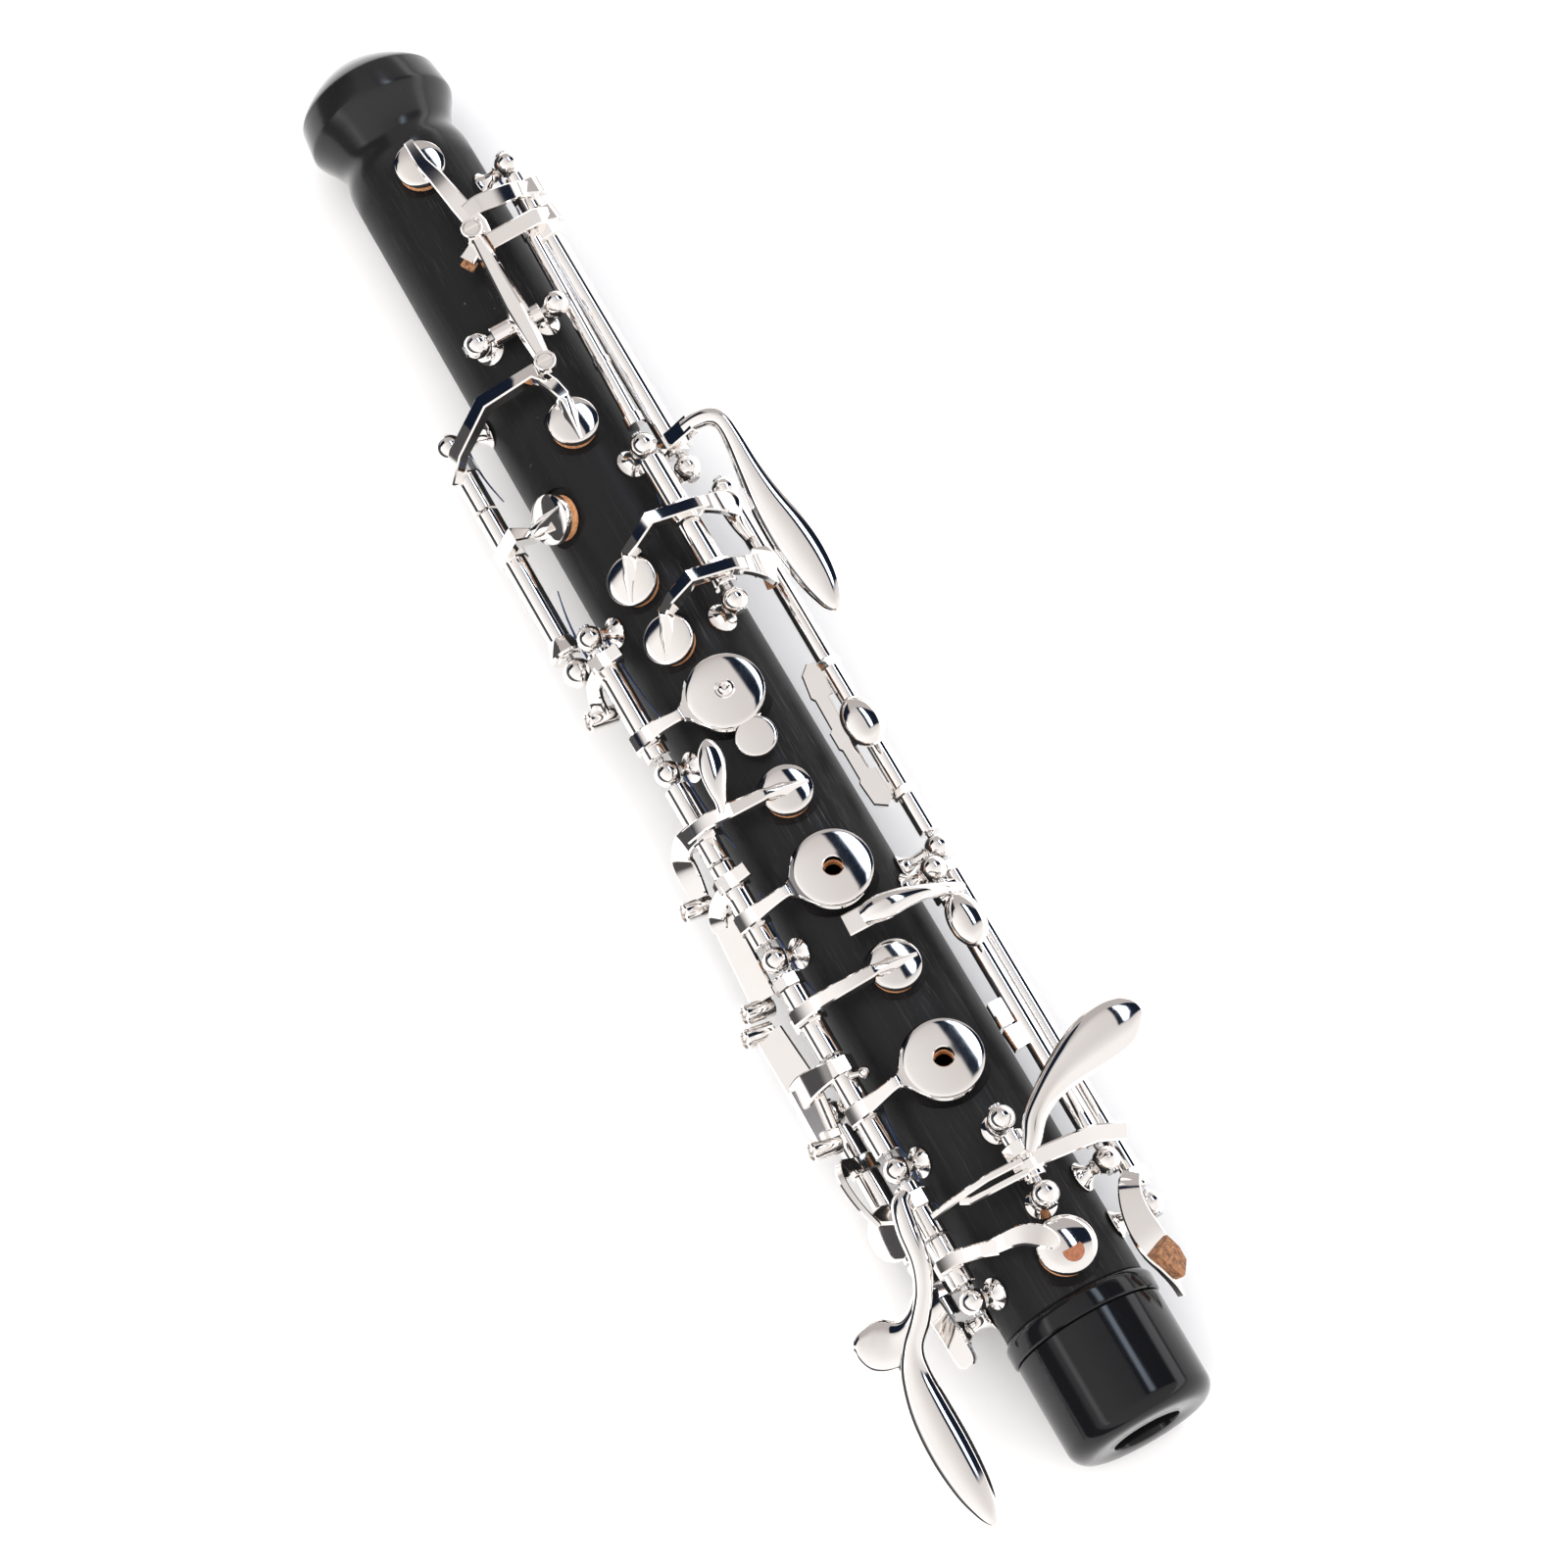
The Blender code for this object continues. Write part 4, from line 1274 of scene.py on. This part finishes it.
upperOctave = {
    "tubes": [(185.9, 176.2)],
    "gauge": 1.9,
    "saddles": [(184.0, 2.6, 2.6)],
    "cups": ["upper_octave"],
    "bars": [
        lying(
            [
                (-19.2, 183.2, 4.6, 2.6, 2.0), (-16.4, 185.2, 8.4, 2.6, 2.1),
                (-9.6, 188.3, 13.3, 2.6, 2.2),
                (-0.8, 188.2, 15.0, 2.5, 1.8), (0.4, 186.6, 15.0, 2.4, 1.7),
            ],
            (0.1, 0.34, 1),
        ),
        [
            (-0.6, 188.4, 14.9, 2.4, 1.7, 0.1), (0.9, 184.8, 15.0, 2.4, 1.8, 0.1),
            *wedge("upper_octave", 0.4, 4.0),
        ],
    ],
}
lowerOctave = {
    "tubes": [(175.8, 147.9)],
    "gauge": 1.9,
    "saddles": [(167.7, 2.8, 2.5)],
    "cups": ["lower_octave"],
    "bars": [
        [
            (-17.8, 167.7, 6.1, 2.6, 1.9), (-15.6, 167.7, 9.6, 2.6, 2.1),
            *wedge("lower_octave", -3.9, 0.0, 2.6),
        ],
    ],
    "turned": [
        ([(0, -1.7), (1.95, -1.7), (2.2, -1.4), (3.0, 1.1), (2.75, 1.5), (0, 1.5)],
         at(-17.1, 149.6, 3.6) @ Matrix.Rotation(math.radians(90), 4, "X"), 10),
    ],
}
sideOctave = {
    "tubes": [(214.8, 166.9)],
    "gauge": 1.85,
    "saddles": [(210.8, 2.6, 2.5), (168.9, 2.8, 2.6)],
    "bars": [
        lying(
            [(14.2, 213.0, 10.9, 2.6, 1.6), (12.0, 212.8, 12.9, 2.7, 1.6),
            (3.6, 211.4, 15.4, 2.7, 1.6)],
            (0, -0.3, 1),
        ),
        lying([(12.6, 168.8, 11.0, 3.0, 1.8), (16.7, 169.0, 13.1, 3.2, 1.9)], (-0.3, 0.2, 1)),
    ],
    "bends": [
        lying(
            [(13.0, 213.0, 11.6, 2.6, 1.2), (15.4, 213.2, 10.4, 3.4, 1.2),
            (16.6, 213.3, 9.0, 3.0, 1.2),
             (17.0, 213.3, 8.2, 1.4, 1.0)],
        ),
    ],
    "leaves": [
        lying(
            [
                (15.4, 169.0, 12.6, 2.6, 1.8), (17.6, 168.9, 13.4, 2.9, 1.9),
                (19.6, 168.2, 14.0, 3.1, 1.9),
                (20.9, 166.5, 14.2, 3.2, 2.1), (21.1, 163.2, 14.2, 3.4, 2.1),
                (20.8, 157.4, 14.0, 4.4, 2.2),
                (20.7, 151.5, 13.8, 6.0, 2.5), (21.1, 145.7, 13.6, 7.2, 2.7),
                (21.4, 140.6, 13.4, 7.2, 2.6),
                (21.5, 135.9, 13.2, 6.0, 2.2), (21.4, 132.4, 13.0, 3.8, 1.6),
                (21.35, 130.9, 12.9, 1.9, 1.0),
                (21.3, 130.5, 12.9, 0.6, 0.5),
            ],
        ),
    ],
    "corks": [[(4.0, 211.4, 14.6, 2.4, 1.6), (2.0, 211.2, 15.0, 2.4, 1.6)]],
}
topTrill = {
    "tubes": [(222.3, 215.2)],
    "gauge": 1.85,
    "saddles": [(218.8, 2.6, 2.5)],
    "cups": ["top_trill"],
    "bars": [
        lying(
            [
                (3.9, 212.6, 15.3, 2.0, 1.2), (3.5, 214.4, 15.6, 3.2, 1.3),
                (2.6, 219.6, 15.5, 2.9, 1.3),
                (1.7, 225.6, 15.3, 2.5, 1.3), onCup("top_trill", 0.2, -1.0, 2.1, 2.1, 1.2),
                onCup("top_trill", 0.0, 3.8, 1.75, 1.6, 0.8),
            ],
            (-0.12, 0, 1),
        ),
    ],
    "bends": [
        lying(
            [
                (13.6, 218.6, 11.2, 2.6, 1.3), (11.6, 218.2, 13.4, 2.8, 1.3),
                (8.3, 217.8, 15.2, 3.0, 1.3),
                (5.2, 217.8, 16.0, 2.9, 1.3), (2.8, 217.4, 16.0, 2.6, 1.3),
            ],
            (0, -0.3, 1),
        ),
        lying(
            [(13.0, 218.6, 11.8, 2.6, 1.2), (15.2, 218.6, 10.6, 3.4, 1.2),
            (16.5, 218.6, 9.2, 3.0, 1.2),
             (16.9, 218.6, 8.4, 1.4, 1.0)],
        ),
    ],
}
rocker = {
    "bars": [
        lying(
            [
                (2.1, 211.8, 17.6, 2.3, 1.7, 0.35), (1.95, 206.0, 17.5, 2.9, 1.8, 0.35),
                (1.8, 198.6, 17.4, 3.7, 2.0, 0.35), (1.65, 193.0, 17.7, 3.2, 1.6, 0.35),
                (1.5, 188.8, 18.1, 2.5, 1.2, 0.35),
            ],
        ),
        [(0.6, 197.4, 13.8, 3.0, 2.6), (2.9, 197.4, 13.8, 3.0, 2.6)],
        [(1.8, 197.4, 15.9, 2.2, 2.0, 0, 0, 1, 0), (1.8, 197.4, 17.0, 2.2, 2.0, 0, 0, 1, 0)],
        [(1.6, 211.6, 15.9, 2.4, 1.0), (-0.8, 210.2, 15.6, 2.6, 1.0)],
    ],
    "turned": [
        ([(1.26, 15.9), (1.5, 15.9), (1.75, 16.3), (1.75, 18.95), (1.62, 19.15),
        (1.32, 19.15), (1.26, 18.7)],
         at(2.1, 213.3, 0), 40),
        ([(1.26, 17.4), (1.5, 17.4), (1.75, 17.7), (1.75, 18.95), (1.62, 19.15),
        (1.32, 19.15), (1.26, 18.7)],
         at(1.5, 187.4, 0), 40),
        ([(0.72, -3.3), (1.5, -3.3), (1.62, -3.15), (1.62, 5.15), (1.5, 5.3), (0.72, 5.3)],
         at(0, 197.4, 13.8) @ Matrix.Rotation(math.radians(90), 4, "Y"), 40),
    ],
    "screws": [((2.1, 213.3, 18.6), (0.1, 0.5, 12), 1.24), ((1.5, 187.4, 18.6), (0.1, 0.5, 12), 1.24)],
    "corks": [[(0.0, 210.4, 14.7, 2.3, 0.9), (-1.4, 209.6, 14.6, 2.3, 0.9)]],
}
upperTrill = {
    "tubes": [(166.6, 154.8)],
    "saddles": [(156.6, 2.4, 2.6)],
    "cups": ["upper_trill"],
    "bars": [
        [
            (12.2, 155.4, 14.6, 2.2, 1.9), (10.2, 155.4, 16.3, 2.2, 2.0),
            (3.1, 156.2, 17.7, 2.2, 2.2),
            (0.0, 154.6, 16.1, 2.2, 2.2, 0, 0.3, 0.5, 1), *wedge("upper_trill", 1.9, 3.6, 2.4),
        ],
    ],
    "bends": [
        lying(
            [
                (11.0, 155.4, 15.6, 2.4, 1.3), (13.0, 155.0, 14.6, 3.2, 1.2),
                (14.8, 154.8, 12.8, 4.2, 1.2),
                (15.8, 154.8, 11.0, 4.6, 1.2), (16.1, 155.0, 9.9, 3.4, 1.0),
                (16.2, 155.2, 9.2, 1.4, 0.8),
            ],
            (0.6, 0, 0.8),
        ),
    ],
    "corks": [lying([(15.2, 155.0, 10.4, 3.2, 1.5), (15.2, 155.2, 8.9, 3.0, 1.5)], (0.6, 0, 0.8))],
}
lowerTrill = {
    "tubes": [(154.4, 142.3)],
    "saddles": [(145.3, 2.4, 2.6)],
    "cups": ["lower_trill"],
    "bars": [
        [
            (12.2, 143.4, 14.8, 2.2, 1.9), (10.4, 143.8, 16.3, 2.2, 2.0),
            (3.9, 144.7, 17.7, 2.2, 2.2),
            (0.2, 143.4, 16.1, 2.2, 2.2, 0, 0.3, 0.5, 1), *wedge("lower_trill", 1.9, 3.6, 2.4),
        ],
    ],
    "bends": [
        lying(
            [
                (11.0, 143.8, 15.6, 2.4, 1.3), (13.0, 143.2, 14.6, 3.2, 1.2),
                (14.8, 142.6, 12.8, 4.2, 1.2),
                (15.8, 142.2, 10.6, 4.6, 1.2), (16.1, 142.0, 9.0, 3.4, 1.0),
                (16.2, 142.0, 8.2, 1.4, 0.8),
            ],
            (0.6, 0, 0.8),
        ),
    ],
    "corks": [lying([(15.2, 142.2, 9.6, 3.2, 1.5), (15.2, 142.0, 7.8, 3.0, 1.5)], (0.6, 0, 0.8))],
}
upperLever = {
    "tubes": [(157.6, 95.1)],
    "gauge": 1.55,
    "saddles": [(126.6, 1.6, 2.0), (102.6, 1.6, 2.0), (146.0, 2.6, 2.2)],
    "leaves": [
        lying(
            [
                (16.4, 118.7, 8.0, 1.6, 0.9), (16.4, 117.9, 8.2, 3.8, 1.8),
                (16.4, 116.4, 8.4, 5.6, 2.3),
                (16.4, 114.4, 8.5, 6.3, 2.5), (16.4, 112.4, 8.4, 5.7, 2.3),
                (16.4, 111.0, 8.2, 4.0, 1.8),
                (16.4, 110.2, 8.0, 1.7, 0.9),
            ],
            (0.1, 0, 1),
        ),
        lying(
            [
                (16.8, 158.9, 6.4, 1.4, 0.8), (16.6, 158.3, 6.5, 3.2, 1.2),
                (16.3, 156.9, 6.6, 4.0, 1.3),
                (15.9, 155.0, 6.6, 3.0, 1.3), (15.8, 152.8, 6.3, 2.2, 1.2),
                (16.2, 150.6, 5.6, 1.8, 1.0),
            ],
            (0.1, 0, 1),
        ),
    ],
    "bars": [
        [(16.8, 114.5, 4.8, 2.0, 2.6, 0, 0, 1, 0), (16.4, 114.5, 7.6, 2.0, 2.6, 0, 0, 1, 0)],
        lying(
            [(16.6, 148.0, 6.0, 2.6, 1.2), (16.2, 146.0, 6.6, 4.8, 1.3),
            (15.4, 143.4, 6.4, 3.2, 1.2)],
            (0.2, 0, 1),
        ),
        lying(
            [
                (14.6, 127.9, 4.4, 1.6, 0.9), (14.0, 126.4, 4.4, 3.4, 0.9),
                (13.5, 122.4, 4.4, 3.6, 0.9),
                (13.3, 122.0, 4.4, 2.3, 0.9), (13.2, 116.8, 4.4, 2.3, 0.9),
                (13.2, 116.4, 4.4, 3.4, 0.9),
                (13.2, 113.2, 4.4, 3.4, 0.9), (13.0, 112.8, 4.4, 2.3, 0.9),
                (13.0, 108.0, 4.4, 2.3, 0.9),
                (13.3, 107.6, 4.4, 3.6, 0.9), (13.5, 103.6, 4.4, 3.4, 0.9),
                (14.4, 102.2, 4.4, 1.8, 0.9),
            ],
            (-0.1, 0, 1),
        ),
        lying([(15.0, 126.0, 4.2, 1.6, 0.9), (16.8, 126.0, 4.4, 1.6, 0.9)]),
        lying([(15.0, 104.4, 4.2, 1.6, 0.9), (16.8, 104.4, 4.4, 1.6, 0.9)]),
    ],
}
bridgeRight = {
    "tubes": [(89.7, 31.2)],
    "gauge": 1.55,
    "saddles": [(88.6, 1.8, 2.0), (33.0, 2.4, 2.3)],
    "bends": [
        [
            (16.6, 33.2, 6.0, 2.8, 1.2, 0, 0, 0, 1), (15.2, 31.4, 7.2, 3.4, 1.2, 0, 0, 0, 1),
            (14.2, 28.4, 7.6, 4.0, 1.1, 0, 0, 0, 1), (13.9, 25.2, 7.5, 4.6, 1.1, 0, 0, 0, 1),
            (14.1, 22.0, 6.6, 5.0, 1.1, 0, 0.3, 0, 0.95),
            (14.6, 19.6, 4.8, 5.0, 1.1, 0, 0.6, 0, 0.8),
            (14.9, 17.4, 2.8, 4.8, 1.1, 0, 0.8, 0, 0.6),
            (14.6, 15.8, 1.2, 4.2, 1.1, 0, 0.95, 0, 0.3),
        ],
    ],
    "corks": [
        [
            (14.6, 21.6, 7.4, 3.8, 1.7, 0, 0.4, 0, 0.9),
            (15.4, 19.6, 6.0, 4.2, 1.8, 0, 0.6, 0, 0.8),
            (15.9, 17.6, 4.2, 4.0, 1.7, 0, 0.8, 0, 0.6),
        ],
    ],
}
lowerLever = {
    "tubes": [(85.9, 39.3)],
    "gauge": 1.6,
    "saddles": [(84.2, 2.4, 2.4)],
    "leaves": [
        lying(
            [
                (14.4, 82.2, 11.5, 1.6, 0.9), (14.4, 81.4, 11.7, 3.6, 1.9),
                (14.3, 79.9, 11.9, 5.2, 2.4),
                (14.2, 77.9, 12.0, 5.8, 2.6), (14.1, 75.9, 11.9, 5.3, 2.4),
                (14.0, 74.5, 11.7, 3.7, 1.9),
                (14.0, 73.7, 11.5, 1.6, 0.9),
            ],
            (0.1, 0, 1),
        ),
        [
            (16.4, 83.6, 9.0, 1.4, 1.2), (14.8, 83.4, 11.4, 1.9, 1.5), (12.4, 83.6, 13.6, 2.3, 1.6),
            (9.8, 84.0, 15.3, 2.7, 1.7), (7.0, 84.3, 16.3, 3.5, 1.8), (4.4, 84.4, 16.7, 4.2, 1.9),
            (2.2, 84.6, 16.6, 3.8, 1.7), (0.6, 84.6, 16.2, 2.8, 1.3),
        ],
    ],
    "bars": [
        [(1.9, 84.7, 15.8, 3.5, 1.0), (-2.2, 84.9, 15.4, 3.5, 1.0)],
        [(14.4, 78.0, 8.8, 2.0, 2.6, 0, 0, 1, 0), (14.4, 78.0, 11.2, 2.0, 2.6, 0, 0, 1, 0)],
        lying([(11.9, 65.8, 7.8, 2.6, 1.6), (12.0, 61.6, 7.8, 2.8, 1.6)], (0.2, 0, 1)),
        lying([(12.2, 61.0, 8.2, 3.2, 2.0), (12.4, 57.4, 8.2, 3.2, 2.0)], (0.2, 0, 1)),
        lying([(12.0, 59.4, 7.8, 2.4, 1.2), (14.4, 59.4, 7.6, 2.4, 1.2)]),
    ],
    "screws": [((12.2, 59.8, 9.3), (0.2, 0, 1), 0.8)],
}
sharpKey = {
    "tubes": [(45.0, 37.4)],
    "gauge": 1.75,
    "saddles": [(42.2, 2.4, 2.5), (39.2, 2.0, 2.4)],
    "leaves": [
        lying(
            [
                (4.2, 40.9, 17.3, 2.2, 1.6), (5.6, 42.6, 17.4, 3.0, 1.9),
                (7.4, 45.0, 17.4, 3.5, 2.1),
                (10.4, 47.2, 17.3, 4.0, 2.3), (13.8, 48.8, 17.2, 5.4, 2.5),
                (17.6, 50.0, 17.2, 7.2, 2.7),
                (21.6, 50.9, 17.2, 8.4, 2.8), (24.9, 51.4, 17.2, 8.1, 2.6),
                (27.2, 51.8, 17.1, 6.4, 2.1),
                (28.7, 52.0, 17.0, 4.0, 1.5), (29.3, 52.1, 17.0, 1.9, 0.8),
            ],
            (0.1, -0.1, 1),
        ),
    ],
    "bars": [
        [
            (2.6, 40.2, 17.4, 1.1, 1.6), (-3.2, 40.5, 17.0, 1.1, 1.6), (-7.6, 40.4, 15.8, 1.1, 1.6),
            (-12.4, 40.2, 13.6, 1.1, 1.6),
        ],
        [
            (2.6, 38.4, 17.3, 1.1, 1.4), (-2.0, 38.7, 16.8, 1.1, 1.4), (-6.6, 39.0, 15.8, 1.1, 1.4),
            (-8.0, 39.9, 15.4, 1.1, 1.4),
        ],
        lying(
            [
                (4.2, 39.8, 17.2, 2.6, 1.4), (9.4, 39.4, 16.4, 2.7, 1.4),
                (14.0, 39.2, 14.8, 2.7, 1.4),
                (18.2, 38.0, 12.4, 2.7, 1.4),
            ],
            (0, -0.3, 1),
        ),
    ],
}
thumbOctave = {
    "tubes": [(63.3, 40.0)],
    "saddles": [(56.5, 2.8, 2.5)],
    "bends": [
        [
            (-17.2, 56.6, -2.2, 2.4, 1.4), (-19.6, 56.8, -0.8, 2.6, 1.3),
            (-20.6, 54.4, 0.2, 2.8, 1.2),
            (-20.2, 50.4, -0.2, 3.6, 1.1), (-19.0, 47.0, -1.4, 5.0, 1.0),
        ],
    ],
    "turned": [
        (disc(4.4, -0.6, 0.6, 0.3, 0, 0.25), facing((-17.9, 45.0, -2.2), (-1, 0, 1)), 56),
    ],
}
bridgeLeft = {
    "tubes": [(39.6, 29.7)],
    "saddles": [(34.0, 2.6, 2.4)],
    "bends": [
        lying(
            [
                (-17.4, 34.0, -1.8, 2.6, 1.4), (-18.3, 33.2, 0.8, 3.0, 1.4),
                (-18.2, 30.4, 2.0, 3.2, 1.4),
                (-18.0, 26.6, 2.2, 3.2, 1.4), (-17.9, 22.8, 2.2, 3.2, 1.4),
                (-17.9, 21.4, 2.2, 2.8, 1.2),
                (-17.9, 20.7, 2.2, 1.6, 0.9),
            ],
            (-0.3, 0, 1),
        ),
    ],
}
keys = {
    "half_hole_key": halfHole,
    "alternate_c_key": alternateC,
    "a_ring_key": aRing,
    "b_flat_key": bFlat,
    "g_ring_key": gRing,
    "low_vent_key": lowVent,
    "right_hand_lever": rightHand,
    "upper_octave_key": upperOctave,
    "lower_octave_key": lowerOctave,
    "side_octave_key": sideOctave,
    "top_trill_key": topTrill,
    "rocker_lever": rocker,
    "upper_trill_key": upperTrill,
    "lower_trill_key": lowerTrill,
    "upper_trill_lever": upperLever,
    "bridge_lever_right": bridgeRight,
    "lower_trill_lever": lowerLever,
    "sharp_key": sharpKey,
    "thumb_octave_key": thumbOctave,
    "bridge_lever_left": bridgeLeft,
}
for keyName, keyShape in keys.items():
    makeKey(keyName, keyShape)
vent = Smithing()
vent.lathe(disc(1.65, 2.0, 2.42, 0.08, 0, 0.12), cupFrame("low_vent") @ at(0.1, -1.5, -0.12), 40)
settle(vent.piece("low_vent_disc", "brown"), "low_vent_key", "pad_cork")
print("keys ready:", len(keys))


studio = {
    "floor": (0.92, 0.915, 0.91),
    "ceiling": (0.72, 0.69, 0.68),
    "bright": (1.05, 1.03, 1.02),
    "far": (0.5, 0.47, 0.46),
    "near": (1.15, 1.13, 1.12),
    "dark": (0.008, 0.013, 0.026),
    "rim": (0.08, 0.078, 0.08),
    "side": (2.4, 2.35, 2.4),
    "strip": (5.2, 6.0, 7.2),
    "glow": (2.6, 2.6, 2.65),
    "keyPower": 10.5,
    # where each panel stands, as low, high and softness across and then along the instrument
    "panels": {
        "flag": ((0.34, 2.6, 0.02), (-0.08, 0.9, 0.05)),
        "leftFlag": ((-2.6, -0.2, 0.04), (0.85, 2.4, 0.06)),
        "strip": ((0.52, 0.7, 0.05), (0.0, 0.8, 0.1)),
        "glow": ((-1.5, -1.15, 0.1), (-1.0, 0.85, 0.2)),
        "side": ((3.0, 14.0, 0.3), (-4.0, 6.0, 0.5)),
    },
}


def makeFloor():
    floor = bpy.data.meshes.new("floor")
    reach = 3.0
    low = cadBox[0].z - 0.0002
    corners = [(-reach, -reach, low), (reach, -reach, low), (reach, reach, low), (-reach, reach, low)]
    floor.from_pydata(corners, [], [(0, 1, 2, 3)])
    finish = newFinish("paleFloor")
    tone = finish.noise((6.0, 6.0, 6.0), 2.0)
    pale = studio["floor"]
    finish.feed(
        finish.shader,
        {"Base Color": finish.blend(tone, pale, tuple(part * 0.985 for part in pale)), "Roughness": 0.8},
    )
    floor.materials.append(finish.owner)
    made = bpy.data.objects.new("floor", floor)
    bpy.context.scene.collection.objects.link(made)


def makeSky():
    # a pale studio with two dark flags, a strip light inside the right one, and a glow on each side
    world = bpy.data.worlds.new("studio")
    world.use_nodes = True
    bpy.context.scene.world = world
    sky = Finish(world)
    where = sky.node("ShaderNodeTexCoord")
    parts = {}
    for place, axis in enumerate("xyz"):
        parts[axis] = sky.node("ShaderNodeSeparateXYZ", {}, {"Vector": where}, output=place)
    rise = sky.node("ShaderNodeMath", {"operation": "MAXIMUM"}, {0: parts["z"], 1: 0.02})
    across = parts["x"] / rise
    along = parts["y"] / rise

    def window(value, low, high, soft):
        entering = sky.between(value, low - soft, low + soft)
        return entering * sky.between(value, high - soft, high + soft, 1, 0)

    def panel(name):
        sideways, lengthways = studio["panels"][name]
        return window(across, *sideways) * window(along, *lengthways)

    flag = panel("flag")
    leftFlag = panel("leftFlag")
    strip = panel("strip")
    glow = panel("glow")
    pale = sky.blend(sky.between(across, -0.7, 0.3), studio["bright"], studio["ceiling"])
    pale = sky.blend(sky.between(along, 0.5, 1.1), pale, studio["far"])
    pale = sky.blend(sky.between(along, -0.7, 0.05, 1, 0) * 0.7, pale, studio["near"])
    pale = sky.blend(sky.between(across, -2.8, -1.7, 1, 0), pale, studio["rim"])
    base = sky.blend(flag + leftFlag, pale, studio["dark"])
    base = sky.blend(panel("side"), base, studio["side"])
    base = sky.blend(strip, base, studio["strip"])
    base = sky.blend(glow, base, studio["glow"])
    background = world.node_tree.nodes["Background"]
    world.node_tree.links.new(base.socket, background.inputs["Color"])


def makeLights():
    for name, spot, size, power in (
        ("overhead", (0.1, 0.1, 0.9), 1.6, studio["keyPower"]),
        ("leftFill", (-0.8, -0.2, 0.5), 0.9, studio["keyPower"] * 0.4),
    ):
        lamp = bpy.data.lights.new(name, "AREA")
        lamp.size = size
        lamp.energy = power
        made = bpy.data.objects.new(name, lamp)
        made.location = spot
        made.rotation_euler = (Vector((0, 0.128, 0)) - Vector(spot)).to_track_quat("-Z", "Y").to_euler()
        made.visible_glossy = False
        bpy.context.scene.collection.objects.link(made)


def makeCamera():
    view = {"tilt": -18.75, "roll": 30.4, "swing": 5.5, "aside": -8.3, "rise": 10.1, "away": 756.0}
    turn = Matrix.Rotation(math.radians(view["roll"]), 3, "Z")
    turn = turn @ Matrix.Rotation(math.radians(view["tilt"]), 3, "X")
    turn = turn @ Matrix.Rotation(math.radians(view["swing"]), 3, "Y")
    turn = turn.transposed()
    middle = Vector((0, 128, 0))
    spot = turn @ Vector((-view["aside"], -view["rise"], view["away"])) + middle
    lens = bpy.data.cameras.new("camera")
    lens.sensor_width = 36
    lens.lens = 112.5
    lens.clip_start = 0.01
    camera = bpy.data.objects.new("camera", lens)
    camera.matrix_world = Matrix.Translation(spot * mm) @ turn.to_4x4()
    bpy.context.scene.collection.objects.link(camera)
    bpy.context.scene.camera = camera


makeFloor()
makeSky()
makeLights()
makeCamera()
bpy.context.scene.view_settings.view_transform = "Standard"
print("studio ready")
